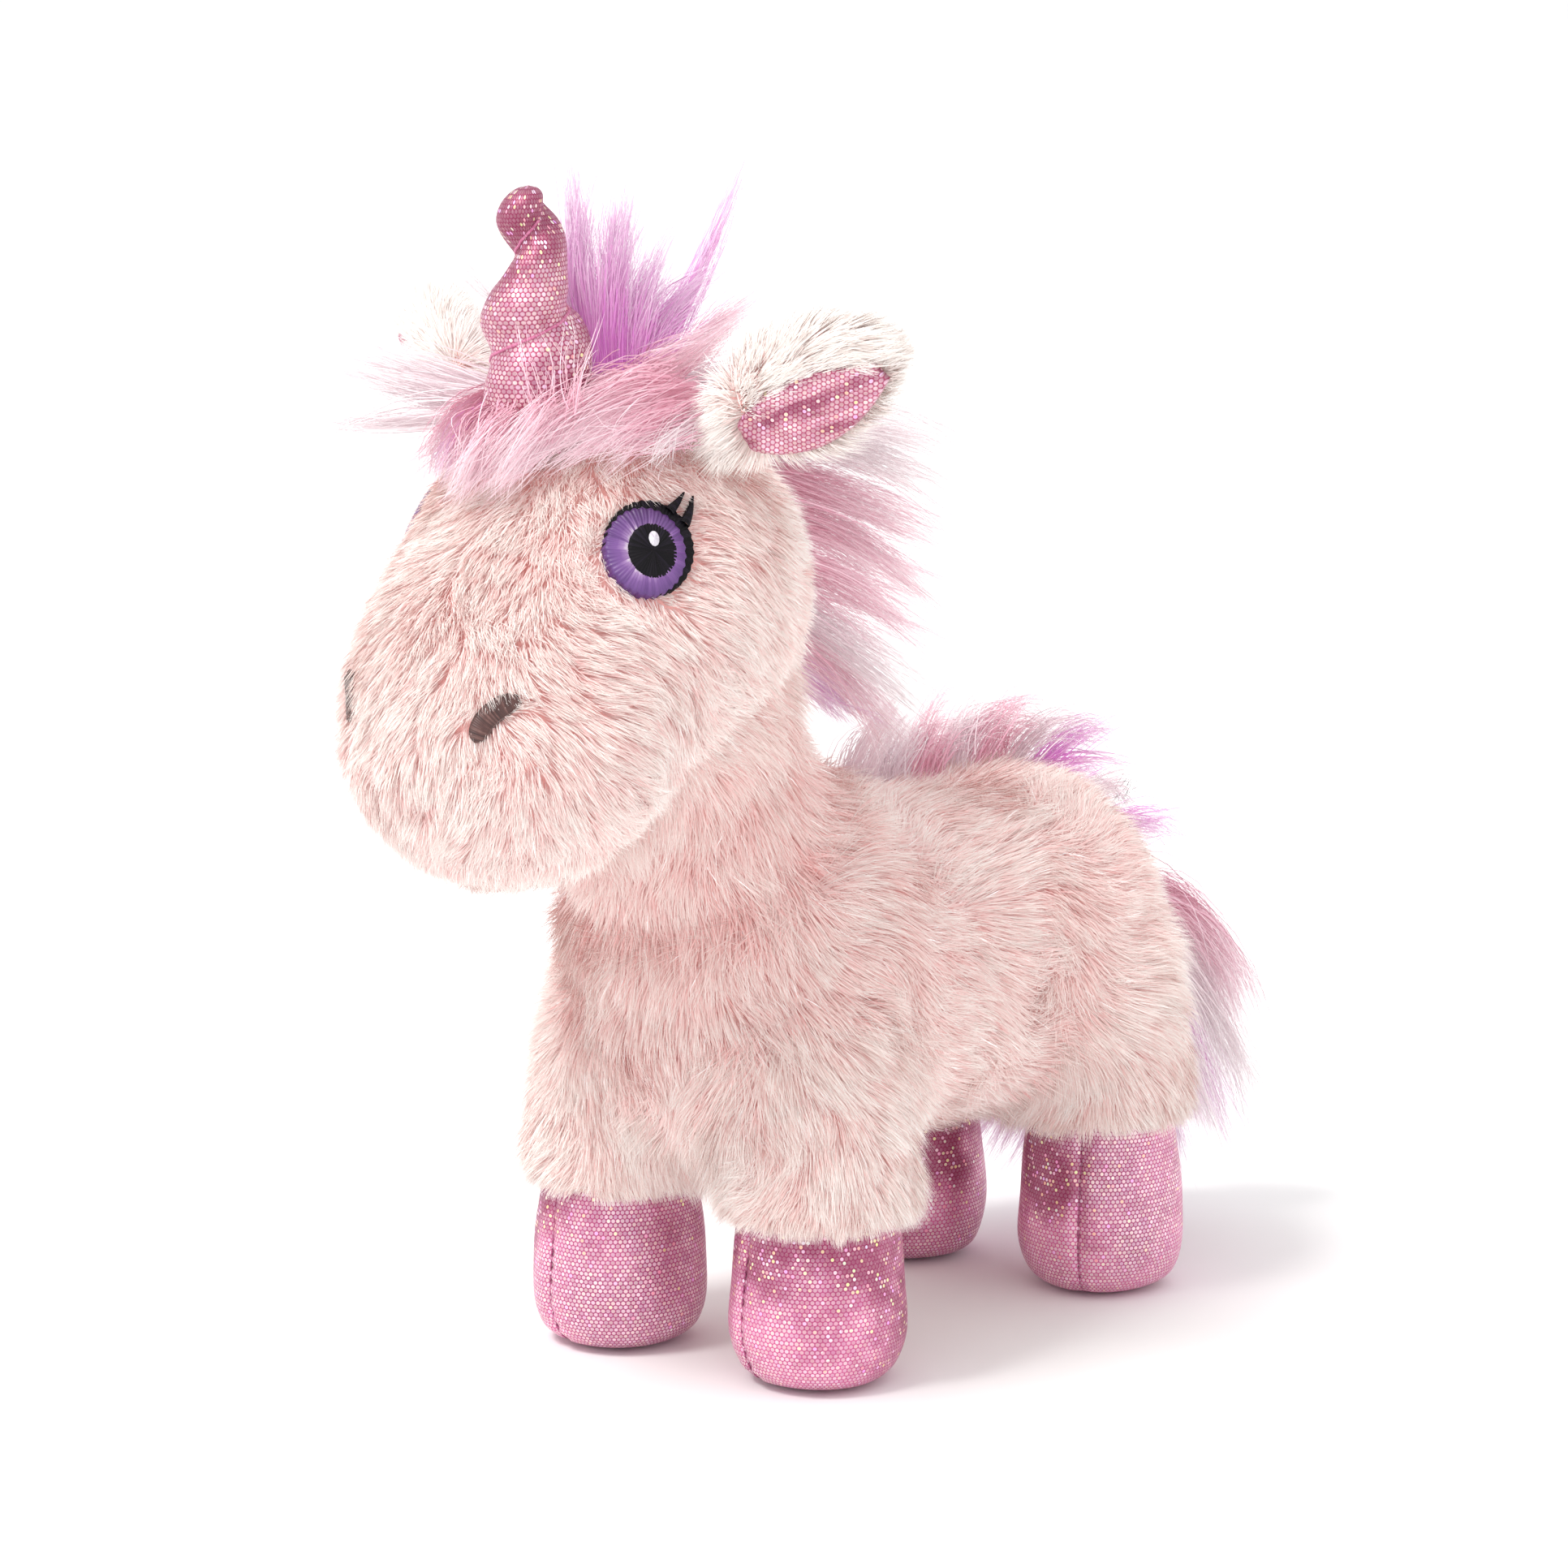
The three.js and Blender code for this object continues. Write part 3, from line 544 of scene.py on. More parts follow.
def eye_frame(side):
    return surface_frame(trees["head"], mirrored(EYE, side))


def nostril_frame(side):
    return surface_frame(trees["head"], mirrored(NOSTRIL, side))


def nostril_line():
    half = NOSTRIL_LENGTH / 2
    return [(-0.75 * half, -0.85 * half), (-0.6 * half, 0.35 * half), (0.85 * half, 0.85 * half)]


def ear_frame(side):
    root, tip = mirrored(EAR_ROOT, side), mirrored(EAR_TIP, side)
    along = unit(tip - root)
    facing = mirrored(EAR_FACING, side)
    out = unit(facing - facing @ along * along)
    middle = root + along * EAR_LENGTH * 0.46
    tree = trees["left_ear" if side > 0 else "right_ear"]
    return Frame(middle + out * 7, along, side * np.cross(out, along), out, tree)


def ear_foil_width(t):
    return 1.4 + EAR_WIDTH * 0.53 * np.sin(math.pi * (0.08 + 0.87 * t)) ** 0.8


def curved(points, t):
    """A place on the quadratic curve through these three control points."""
    a, b, c = (np.array(p, float) for p in points)
    return (1 - t) ** 2 * a + 2 * t * (1 - t) * b + t ** 2 * c


def lengths_along(points):
    """The length of a line of points, up to each one."""
    return np.cumsum([0] + [np.linalg.norm(b - a) for a, b in zip(points, points[1:])])


def sheet(name, high, wide, spot, material, closed=False, turned=False):
    """A smooth sheet of cloth. spot(row, column) gives a place on it and that place in the flat cloth, which
    is the UV map. A closed sheet joins its last column to its first, and a turned one faces the other way."""
    columns = range(wide)[::-1] if turned else range(wide)
    spots = [spot(j, i) for j in range(high) for i in columns]
    faces = []
    for j in range(high - 1):
        for i in range(wide if closed else wide - 1):
            k = (i + 1) % wide
            faces.append((j * wide + i, j * wide + k, (j + 1) * wide + k, (j + 1) * wide + i))
    mesh = bpy.data.meshes.new(name)
    mesh.from_pydata([tuple(np.array(place) * MM) for place, _ in spots], [], faces)
    layer = mesh.uv_layers.new(name="cloth")
    widest = max(flat[0] for _, flat in spots[:wide])
    for face in mesh.polygons:
        flats = [spots[mesh.loops[i].vertex_index][1] for i in face.loop_indices]
        us = [u for u, _ in flats]
        wraps = closed and max(us) - min(us) > widest / 2
        for i, (u, v) in zip(face.loop_indices, flats):
            layer.data[i].uv = (widest * wide / (wide - 1) if wraps and u == 0 else u, v)
    mesh.materials.append(material)
    mesh.shade_smooth()
    return mesh


def oval_patch(name, place, middle, size, lift, material, inner=0.0, ridge=0.06, threads=70, scallop=0.0):
    """An embroidered oval: its edge goes down into the fur, its threads run from the middle outwards."""
    around, rings = 3 * threads, 9

    def spot(ring, i):
        share = inner + (1 - inner) * min(ring / rings, 1)
        drop = max(ring - rings, 0)
        angle = math.tau * i / around
        edge = share * (1 + scallop * math.sin(angle * threads / 2) * share)
        spread = 1 + 0.02 * min(drop, 1)
        u = middle[0] + size[0] * edge * spread * math.cos(angle)
        v = middle[1] + size[1] * edge * spread * math.sin(angle)
        off_crown = 2 * (share - inner) / (1 - inner) - 1 if inner else share
        thread = ridge * math.sin(angle * threads) * min(share * 2, 1)
        height = lift + 0.35 * (1 - off_crown ** 2) + thread
        flat = (i / around * threads / 2.4, (share - inner) / (1 - inner) + 0.05 * drop)
        return place.point(u, v, height - (0, 0.35, 4.5)[drop]), flat

    return sheet(name, rings + 3, around, spot, material, closed=True)


def stitched_stroke(name, place, line, width, lift, material, side=1, steps=36, rows=9, pitch=0.45):
    """A satin-stitched stroke: domed across, with a ridge for each stitch along it."""
    points = [(u * side, v) for u, v in line]
    middles = [curved(points, j / steps) for j in range(steps + 1)]
    lengths = lengths_along(middles)

    def spot(j, i):
        t, length = j / steps, lengths[j]
        ahead = unit(curved(points, min(t + 0.01, 1)) - curved(points, t - 0.01 if t > 0.98 else t))
        s = np.clip((i - 2) / (rows - 1), 0, 1) - 0.5
        u, v = middles[j] + np.array([-ahead[1], ahead[0]]) * s * width(t)
        dome = 0.55 * (1 - (2 * s) ** 2) + 0.05 * math.sin(math.tau * length / pitch)
        sunk = 4.0 if i in (0, rows + 3) else 0
        return place.point(u, v, lift + dome - sunk), (length, s * width(t))

    return sheet(name, steps + 1, rows + 4, spot, material)


# ---- fur


def unit(vectors):
    return vectors / np.maximum(np.linalg.norm(vectors, axis=-1, keepdims=True), 1e-9)


def smooth_noise(places, size, seed, waves=7):
    """Three slow random values at each place, from sums of waves about size millimetres long."""
    random = np.random.default_rng(seed)
    total = np.zeros_like(places)
    for _ in range(waves):
        direction = unit(random.normal(size=3)) * math.tau / (size * random.uniform(0.7, 1.5))
        total += np.sin(places @ direction[:, None] + random.uniform(0, 6.3, 3)) * random.normal(size=3)
    return total / math.sqrt(waves / 2)


def scatter(cells, seed):
    """Four random values from 0 to 1 for each whole-numbered cell."""
    keys = cells.astype(np.int64) @ np.array([73856093, 19349663, 83492791]) + seed * 2654435761
    values = []
    for turn in range(4):
        mixed = (keys + turn * 374761393) & 0xFFFFFFFF
        mixed = ((mixed ^ (mixed >> 15)) * 2246822519) & 0xFFFFFFFF
        mixed = ((mixed ^ (mixed >> 13)) * 3266489917) & 0xFFFFFFFF
        values.append((mixed ^ (mixed >> 16)) / 0xFFFFFFFF)
    return np.stack(values, 1)


def clumps(places, size, seed):
    """The middle of the clump nearest to each place, and the clump's own random values."""
    cell = np.floor(places / size)
    best = np.full(len(places), 1e9)
    middle, values = np.zeros_like(places), np.zeros((len(places), 4))
    for step in np.ndindex(3, 3, 3):
        other = cell + np.array(step) - 1
        own = scatter(other, seed)
        spot = (other + own[:, :3]) * size
        distance = ((spot - places) ** 2).sum(1)
        closer = distance < best
        best[closer] = distance[closer]
        middle[closer] = spot[closer]
        values[closer] = scatter(other[closer], seed + 77)
    return middle, values


def ribbons(name, lines, widths, sides, facings, levels, materials):
    """Flat tapering strands as one mesh. lines is strands x points x 3; the last point is the sharp tip."""
    count, points, _ = lines.shape
    body = points - 1
    offset = sides[:, None, :] * widths[:, :body, None] / 2
    left = lines[:, :body] - offset
    right = lines[:, :body] + offset
    pairs = np.stack([left, right], 2).reshape(count, body * 2, 3)
    verts = np.concatenate([pairs, lines[:, -1:]], 1)
    size = body * 2 + 1
    loops = [2 * k + corner for k in range(body) for corner in (0, 1, 3, 2)][:-1]
    loops[-1] = size - 1
    starts = [4 * k for k in range(body)]
    base = np.arange(count)[:, None]
    mesh = bpy.data.meshes.new(name)
    mesh.vertices.add(count * size)
    mesh.vertices.foreach_set("co", (verts * MM).astype(np.float32).ravel())
    mesh.loops.add(count * len(loops))
    mesh.loops.foreach_set("vertex_index", (base * size + np.array(loops)).astype(np.int32).ravel())
    mesh.polygons.add(count * body)
    mesh.polygons.foreach_set("loop_start", (base * len(loops) + np.array(starts)).astype(np.int32).ravel())
    mesh.polygons.foreach_set("material_index", levels.astype(np.int32).ravel())
    for material in materials:
        mesh.materials.append(material)
    mesh.update(calc_edges=True)
    mesh.shade_smooth()
    mesh.normals_split_custom_set_from_vertices(np.repeat(facings, size, axis=0))
    return mesh


def fur_materials():
    """Slots of a fur strand from its root to its tip, then the clear filament that sparkles."""
    colours = [
        # the deeper levels get more painted glow, which lifts the shade deep in the pile
        ("root", (229, 183, 180), 0.18, 1.2),
        ("low", (235, 200, 197), 0.15, 1.2),
        ("middle", (239, 211, 207), 0.1, 1.15),
        ("high", (244, 225, 220), 0.07, 1.1),
        ("tip", (249, 238, 233), 0.05, 1.1),
        ("pale_tip", (254, 247, 243), 0.05, 1.1),
    ]
    made = [strand_material(f"fur_{name}", colour, glow, depth) for name, colour, glow, depth in colours]
    # the filament has the strongest painted glow
    made.append(strand_material("fur_filament", (255, 250, 250), 0.25, roughness=0.15, specular=0.9))
    return made


# One kind of strand: how thick they stand, how wide and long they are, how far they rise, and their shades.
Coat = namedtuple("Coat", "name density width stretch rise shades")
COATS = [
    Coat("underfur", 2.4, 0.32, 0.72, 1.25, (0, 1, 2)),
    Coat("fur", 5.2, 0.13, 1.0, 1.0, (1, 3, 4)),
]


# How one body's fur lies: lay is its angle off the skin, and the last field how much paler it is than the
# rest: painted light where a body faces the lamp, and painted shade below zero, as on the neck under the
# head.
Fur = namedtuple("Fur", "flow length lay thickness wild tone", defaults=(1.0, 0.55, 0.0))


def roots_on(mesh, closeness, face_mask, density, seed):
    """Random places on some faces of a skin, with their normals and their closeness to a neighbour."""
    places, normals, triangles = vertex_arrays(mesh)
    triangles = triangles[face_mask]
    corners = places[triangles]
    area = np.linalg.norm(np.cross(corners[:, 1] - corners[:, 0], corners[:, 2] - corners[:, 0]), axis=1) / 2
    count = min(int(area.sum() * density), MOST_STRANDS)
    random = np.random.default_rng(seed)
    face = random.choice(len(triangles), count, p=area / area.sum())
    share = random.dirichlet((1, 1, 1), count)
    place = (corners[face] * share[..., None]).sum(1)
    normal = unit((normals[triangles[face]] * share[..., None]).sum(1))
    return place, normal, (closeness[triangles[face]] * share).sum(1)


def along_skin(vectors, normals):
    return vectors - (vectors * normals).sum(1, keepdims=True) * normals


def strand_faces(along, outward, roll):
    """The sideways direction and the face of each flat strand, rolled by some radians from facing outward."""
    flat = unit(np.cross(along, outward))
    roll = roll[:, None]
    side = unit(flat * np.cos(roll) + np.cross(along, flat) * np.sin(roll))
    side[(np.cross(along, side) * outward).sum(1) > 0] *= -1
    return side, unit(np.cross(side, along))


def grow_fur(name, skin, face_mask, fur, coat, materials, seed, keep=None):
    """A mesh of fur on these faces of a skin. keep(places) gives each root's share of length, 0 if bare."""
    place, normal, closeness = roots_on(*skin, face_mask, fur.thickness * coat.density, seed)
    share = keep(place) if keep else np.ones(len(place))
    alive = share > 0.02
    place, normal, share, closeness = place[alive], normal[alive], share[alive], closeness[alive]
    random = np.random.default_rng(seed + 1)
    count = len(place)
    middle, tuft = clumps(place, TUFT_SIZE, 11)
    small, wisp = clumps(place, WISP_SIZE, 12)
    flow = fur.flow(place)
    flow = unit(along_skin(flow, normal)) + fur.wild * smooth_noise(place, 26, 5) * 0.5
    flow += fur.wild * 0.6 * (tuft[:, :3] - 0.5) + 0.3 * (wisp[:, :3] - 0.5)
    flow += 0.15 * random.normal(size=(count, 3))
    flow = unit(along_skin(flow, normal))
    lay = fur.lay * coat.rise * (1 + 0.3 * (tuft[:, 3] - 0.5)) + random.normal(0, 7, count) + 12 * closeness
    rise = np.radians(np.clip(lay, 12, 80))[:, None]
    length = fur.length(place) * coat.stretch * share * (0.88 + 0.24 * tuft[:, 0]) * (1 + 0.4 * closeness)
    length = (length * random.uniform(0.75, 1.1, count))[:, None]
    towards = along_skin(middle - place, normal)
    nearer = along_skin(small - place, normal)
    start = flow * np.cos(rise * 1.25) + normal * np.sin(rise * 1.25)
    finish = flow * np.cos(rise * 0.62) + normal * np.sin(rise * 0.62)
    line = np.stack([
        place - normal * 0.6,
        place + start * length * 0.38 + towards * 0.08 + nearer * 0.12,
        place + (start * 0.45 + finish * 0.27) * length + towards * 0.2 + nearer * 0.25,
        place + (start * 0.42 + finish * 0.58) * length + towards * 0.3 + nearer * 0.36,
    ], 1)
    along = unit(line[:, 3] - line[:, 0])
    side, face = strand_faces(along, normal, random.normal(0, 0.5, count))
    facing = unit(normal + face * 0.3 + np.array([0, 0, 0.3]))
    width = coat.width * random.uniform(0.75, 1.25, count)[:, None] * np.array([[1.0, 0.95, 0.7, 0]])
    # the body's last field adds painted light to the shades, and painted shade when below zero
    shade = np.round(random.normal(0.0, 0.4, count) + (tuft[:, 1] - 0.5) * 0.8 + fur.tone)[:, None]
    levels = np.clip(np.array([coat.shades]) + np.clip(shade, -1, 3), 0, 5)
    levels[random.uniform(size=count) < SPARKLE_SHARE] = 6
    return ribbons(name, line, width, side, facing, levels, materials)


def away_from(point, reach):
    """A push away from a point, fading out at reach millimetres."""
    def push(places):
        offset = places - point
        distance = np.linalg.norm(offset, axis=1, keepdims=True)
        return offset / np.maximum(distance, 1e-6) * np.clip(1 - distance / reach, 0, 1)

    return push


def mirrored(place, side):
    return place * np.array([side, 1, 1])


def head_flow(places):
    """Down the face and back over the cheeks, from the crown that the forelock hides."""
    below_brow = np.clip((197 - places[:, 2]) / 14, 0, 1)
    sideways = np.clip((np.abs(places[:, 0]) - 12) / 22, 0, 1) * below_brow
    flow = np.stack([0 * sideways, 1.1 * sideways - 0.1, 0.15 * sideways - 0.9], 1)
    for side in (1, -1):
        flow += 1.6 * away_from(mirrored(EYE, side), 17)(places)
        flow += 1.1 * away_from(mirrored(NOSTRIL, side), 10)(places)
    return flow


def head_length(places):
    forward = np.clip((-places[:, 1] - 80) / 45, 0, 1)
    crown = np.clip((places[:, 2] - 196) / 12, 0, 1)
    return 8.6 - 1.6 * forward - 1.6 * crown


def near_line(places, start, end):
    """Distance from each place to the line between two points."""
    along = end - start
    share = np.clip((places - start) @ along / (along @ along), 0, 1)[:, None]
    return np.linalg.norm(places - start - share * along, axis=1)


def head_keep(places):
    share = np.ones(len(places))
    for side in (1, -1):
        eye, nostril = eye_frame(side), nostril_frame(side)
        u, v, _ = eye.flat(places)
        oval = np.hypot(u / (EYE_SIZE[0] / 2), v / (EYE_SIZE[1] / 2))
        facing = np.linalg.norm(places - eye.place, axis=1) < 25
        round_eye = np.where(oval < 0.93, 0, 0.4 + (oval - 0.93) * 0.8)
        share = np.where(facing, np.minimum(share, round_eye), share)
        for line in LASH_LINES:
            start, end = (eye.point(u * side, v, 0) for u, v in (line[0], line[-1]))
            share = np.minimum(share, 0.35 + near_line(places, start, end) / 7)
        bends = [nostril.point(u * side, v, 0) for u, v in nostril_line()]
        distance = np.minimum(*(near_line(places, a, b) for a, b in zip(bends, bends[1:])))
        bare, low = (2.1, 0.3) if side > 0 else (1.8, 0.5)
        share = np.minimum(share, np.where(distance < bare, 0, low + distance / 8))
    horn = np.linalg.norm(places[:, :2] - HORN_FOOT[:2], axis=1)
    share = np.where((horn < HORN_RADIUS) & (places[:, 2] > 190), 0, share)
    return np.clip(share, 0, 1)


def ear_foil_line():
    return [(-EAR_LENGTH * 0.36, EAR_DROP - 1.5), (0, EAR_DROP - 2.5), (EAR_LENGTH * 0.5, EAR_DROP)]


def ear_keep(side):
    lining = ear_frame(side)

    def keep(places):
        u, v, depth = lining.flat(places)
        t = (u + 0.36 * EAR_LENGTH) / (0.86 * EAR_LENGTH)
        edge = np.abs(v - EAR_DROP + 1.5) / (0.5 * ear_foil_width(np.clip(t, 0, 1)) + 0.01)
        inside = (depth > -6) & (t > 0) & (t < 1) & (edge < 0.8)
        return np.where(inside, 0.0, 1.0)

    return keep


def body_flow(places):
    chest = np.clip((-places[:, 1] - 20) / 30, 0, 1)[:, None]
    back = np.array([0, 1.0, -0.45])
    down = np.array([0, -0.1, -1.0])
    return back * (1 - chest) + down * chest


def leg_flow(leg):
    def flow(places):
        outward = places - np.array([leg["x"], leg["foot_y"] + CENTRE_SHIFT, 0])
        outward[:, 2] = 0
        height = places[:, 2:] - leg["hem"]
        splay = 0.1 + 0.5 * np.clip(1 - height / 16, 0, 1)
        body = np.clip((height - 12) / 20, 0, 1)
        return (unit(outward) * splay + np.array([0, 0.1, -1.0])) * (1 - body) + body_flow(places) * body

    return flow


def leg_length(leg):
    """The fur of a leg is trimmed along its hem."""
    return lambda places: np.clip(1.4 + 0.95 * (places[:, 2] - leg["hem"]), 1.4, 10)


def from_ear_root(places, side):
    """How far along the ear each place is."""
    return (places - mirrored(EAR_ROOT, side)) @ unit(mirrored(EAR_TIP - EAR_ROOT, side))


def ear_flow(side):
    """Towards the tip, but over the seam towards the head."""
    along = unit(mirrored(EAR_TIP - EAR_ROOT, side))
    facing = mirrored(EAR_FACING, side)

    def flow(places):
        seam = np.clip(1.4 - from_ear_root(places, side) / EAR_SEAM, 0, 1)[:, None]
        return along * (1 - 2 * seam) - 0.45 * unit(facing)

    return flow


def even(value):
    """The same length or direction everywhere."""
    return lambda places: np.array([value] * len(places), float)


def face_middles(mesh):
    places, _, triangles = vertex_arrays(mesh)
    return places[triangles].mean(1).tolist()


def panel_masks(mesh, panels):
    """Which of a skin's faces lie under each CAD panel."""
    middles = face_middles(mesh)
    trees = [tree_of(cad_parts[panel].data) for panel in panels]
    distance = np.array([[tree.find_nearest(m)[3] for m in middles] for tree in trees])
    nearest = distance.argmin(0)
    return {panel: nearest == i for i, panel in enumerate(panels)}


def exposed(mesh, own, trees):
    """Which faces aren't deep inside another body."""
    middles = face_middles(mesh)
    uncovered = np.ones(len(middles), bool)
    for other, tree in trees.items():
        if other != own:
            uncovered &= depths(tree, middles, 12.0) > -HIDDEN_DEPTH
    return uncovered


def add_skins_and_fur(skins, trees):
    backing = backing_material()
    strands = fur_materials()
    plans = {
        # ears, head and legs get painted light, and the neck painted shade, from their last field
        "head": Fur(head_flow, head_length, lay=34, tone=0.4),
        "neck": Fur(even((0, 0.35, -1)), even(13), lay=38, tone=-0.5),
        "torso": Fur(body_flow, even(10.5), lay=40, wild=0.9),
        "left_ear": Fur(ear_flow(1), even(9), lay=36, thickness=1.6, tone=2.8),
        "right_ear": Fur(ear_flow(-1), even(9), lay=36, thickness=1.6, tone=2.8),
        "tail": Fur(even((0, 0.5, -1)), even(7), lay=25),
    }
    for name, leg in LEGS.items():
        plans[f"{name}_leg"] = Fur(leg_flow(leg), leg_length(leg), lay=36, wild=0.6, tone=0.35)
    keeps = {"head": head_keep, "left_ear": ear_keep(1), "right_ear": ear_keep(-1)}
    for number, (name, nodes) in enumerate(SKINS.items()):
        mesh = skins[name][0]
        panels = [node for node in nodes if not node.endswith("stuffing")]
        inner = [node for node in nodes if node.endswith("stuffing")]
        mesh.materials.append(backing)
        skin = shown(f"{name}_skin", mesh, name, *inner, slot="fur")
        uncovered = exposed(mesh, name, trees)
        masks = panel_masks(mesh, panels)
        for index, panel in enumerate(panels):
            faces = masks[panel] & uncovered
            for turn, coat in enumerate(COATS):
                seed = 100 * number + 10 * index + 2 * turn
                piece = f"{panel}_{coat.name}"
                fur = grow_fur(piece, skins[name], faces, plans[name], coat, strands, seed, keeps.get(name))
                shown(piece, fur, name, panel, slot="fur")


# ---- embroidery


def add_eye(side, name):
    place = eye_frame(side)
    black = thread_material(f"{name}_eye_black_thread", [(8, 6, 10), (17, 13, 20), (34, 28, 42)], 0.65, 0)
    white = thread_material(f"{name}_eye_white_thread", [(206, 198, 210), (226, 220, 230), (242, 238, 246)])

    def add(part, mesh, slot):
        shown(f"{name}_eye_{part}_thread", mesh, "head", f"{name}_eye_{part}", slot=slot)

    def lash_width(t):
        return 2.2 - 1.8 * t

    half = (EYE_SIZE[0] / 2, EYE_SIZE[1] / 2)
    outline = oval_patch("outline", place, (0, 0), half, -0.4, black, threads=64, scallop=0.015)
    lashes = [stitched_stroke("lash", place, line, lash_width, 0.2, black, side) for line in LASH_LINES]
    add("outline_and_lashes", joined([outline, *lashes]), "black_thread")
    rim = (half[0] - 0.75, half[1] - 0.65)
    iris = oval_patch("iris", place, (-1.15 * side, -0.9), rim, -0.1, iris_material(), inner=0.45, threads=60,
                      ridge=0.08, scallop=0.02)
    add("iris", iris, "purple_thread")
    pupil = oval_patch("pupil", place, (0, -1.0), PUPIL_HALF, 0.25, black, threads=40, scallop=0.01)
    add("pupil", pupil, "black_thread")
    glint = oval_patch("glint", place, (0.4 * side, 1.3), GLINT_HALF, 0.65, white, threads=12)
    add("glint", glint, "white_thread")


def joined(meshes):
    """Several meshes with the same material and UV map as one."""
    pieces = [placed("part", mesh) for mesh in meshes]
    with bpy.context.temp_override(active_object=pieces[0], selected_editable_objects=pieces):
        bpy.ops.object.join()
    mesh = pieces[0].data
    bpy.data.objects.remove(pieces[0])
    return mesh


def add_nostril(side, name):
    place = nostril_frame(side)
    brown = thread_material(f"{name}_nostril_thread", [(58, 30, 28), (84, 50, 46), (124, 88, 82)])

    def width(t):
        return NOSTRIL_WIDTH * math.sqrt(max(0.02, 1 - (2 * t - 1) ** 4))

    depth = 0.5 if side > 0 else 0.9  # how far below the outline, in the fur
    mesh = stitched_stroke("nostril", place, nostril_line(), width, -depth, brown, side, pitch=0.5)
    shown(f"{name}_nostril_thread", mesh, "head", f"{name}_nostril", slot="brown_thread")


# ---- foil pieces


def smooth_profile(bends, top, rim, steps):
    """(share of width, height, length of cloth so far) from the sole's middle to the rim."""
    places = [(0.0, 0.0), (0.3, 0.0), *bends, (rim, top)]
    fine = []
    for k in range(len(places) - 1):
        a, b, c, d = (np.array(places[min(max(k + m, 0), len(places) - 1)], float) for m in (-1, 0, 1, 2))
        for j in range(steps):
            t = j / steps
            fine.append(0.5 * (2 * b + (c - a) * t + (2 * a - 5 * b + 4 * c - d) * t ** 2
                               + (3 * b - a - 3 * c + d) * t ** 3))
    fine.append(np.array(places[-1], float))
    length, profile = 0.0, []
    for k, (share, height) in enumerate(fine):
        if k:
            length += math.hypot((share - fine[k - 1][0]) * HOOF_RADIUS, height - fine[k - 1][1])
        profile.append((max(share, 0.0), max(height, 0.0), length))
    return profile


def standing(leg, x, y, height):
    """A place given from the middle of a hoof that points straight ahead."""
    turn = math.radians(leg["turn"])
    return (
        x * math.cos(turn) - y * math.sin(turn) + leg["x"],
        x * math.sin(turn) + y * math.cos(turn) + leg["foot_y"] + CENTRE_SHIFT,
        height,
    )


def hoof_panel(leg, outward, material):
    """Half a hoof: drawn in and puckered along its two seams, with wide soft dents."""
    across = 72
    profile = smooth_profile(HOOF_BENDS, leg["hem"] + RIM_OVERLAP + 1, HOOF_RIM, 9)

    def spot(j, i):
        share, height, length = profile[j]
        angle = math.pi * (i / across - 0.5)
        radius = share * HOOF_RADIUS
        seam = radius * math.cos(angle)
        pull = 0.75 * math.exp(-((seam / 1.5) ** 2))
        pucker = 0.22 * math.sin(math.tau * length / 3.4) * math.exp(-((seam / 4.5) ** 2))
        dent = 0.35 * math.sin(angle * 3.1 + length * 0.16 + leg["turn"]) * math.sin(length * 0.11)
        radius = max(radius + (pucker - pull) * min(share * 2, 1) + dent * min(share, 1), 0)
        x, y = radius * math.cos(angle) * outward, radius * math.sin(angle)
        y = y * TOE_STRETCH if y < 0 else y
        return standing(leg, x, y, height), (angle * HOOF_RADIUS * 0.97, length)

    return sheet("hoof", len(profile), across + 1, spot, material, turned=outward < 0)


def seam_thread(leg, material):
    """Short stitches down the front and back seams of a hoof."""
    profile = smooth_profile(HOOF_BENDS, leg["hem"], HOOF_RIM, 9)
    lengths = [p[2] for p in profile]
    parts = []
    for end in (-1, 1):
        spot = 12.0
        while spot < lengths[-1] - 2:
            marks = []
            for step in (0, 0.5, 1, 1.5, 2.0):
                share = np.interp(spot + step, lengths, [p[0] for p in profile])
                height = np.interp(spot + step, lengths, [p[1] for p in profile])
                y = end * (share * HOOF_RADIUS - 0.72) * (TOE_STRETCH if end < 0 else 1)
                marks.append(standing(leg, 0, y, height))
            parts.append(tube("stitch", np.array(marks), 0.22, material))
            spot += 2.9
    return joined(parts)


def tube(name, line, radius, material, around=8):
    """A round thread along a line. It starts blunt, and ends in a point with a tiny flat disc on it."""
    last, lengths = len(line) - 1, lengths_along(line)

    def spot(j, i):
        k = min(max(j - 1, 0), last)
        angle = math.tau * i / around
        ahead = unit(line[min(k + 1, last)] - line[max(k - 1, 0)])
        side = unit(np.cross(ahead, [0.3, 0.5, 0.8]))
        thick = 0 if j in (0, last + 1) else radius * (0.45 if k in (0, last) else 1)
        ring = math.cos(angle) * side + math.sin(angle) * np.cross(side, ahead)
        return line[k] + thick * ring, (lengths[k], radius * angle)

    return sheet(name, last + 3, around, spot, material, closed=True)


def thicken(piece, thickness):
    cloth = piece.modifiers.new("cloth", "SOLIDIFY")
    cloth.thickness, cloth.offset = thickness * MM, -1


def add_hooves(foil):
    thread = thread_material("seam_thread", [(150, 58, 104), (176, 82, 128), (196, 104, 148)])
    for name, leg in LEGS.items():
        out = 1 if leg["x"] > 0 else -1
        for panel, side in (("outer", out), ("inner", -out)):
            node = f"{name}_hoof_{panel}_panel"
            inside = [f"{name}_hoof_pellets"] if panel == "outer" else []
            cloth = hoof_panel(leg, side, foil)
            thicken(shown(f"{node}_foil", cloth, f"{name}_leg", node, *inside, slot="foil"), 0.9)
        shown(f"{name}_hoof_seam_thread", seam_thread(leg, thread), f"{name}_leg", slot="pink_thread")


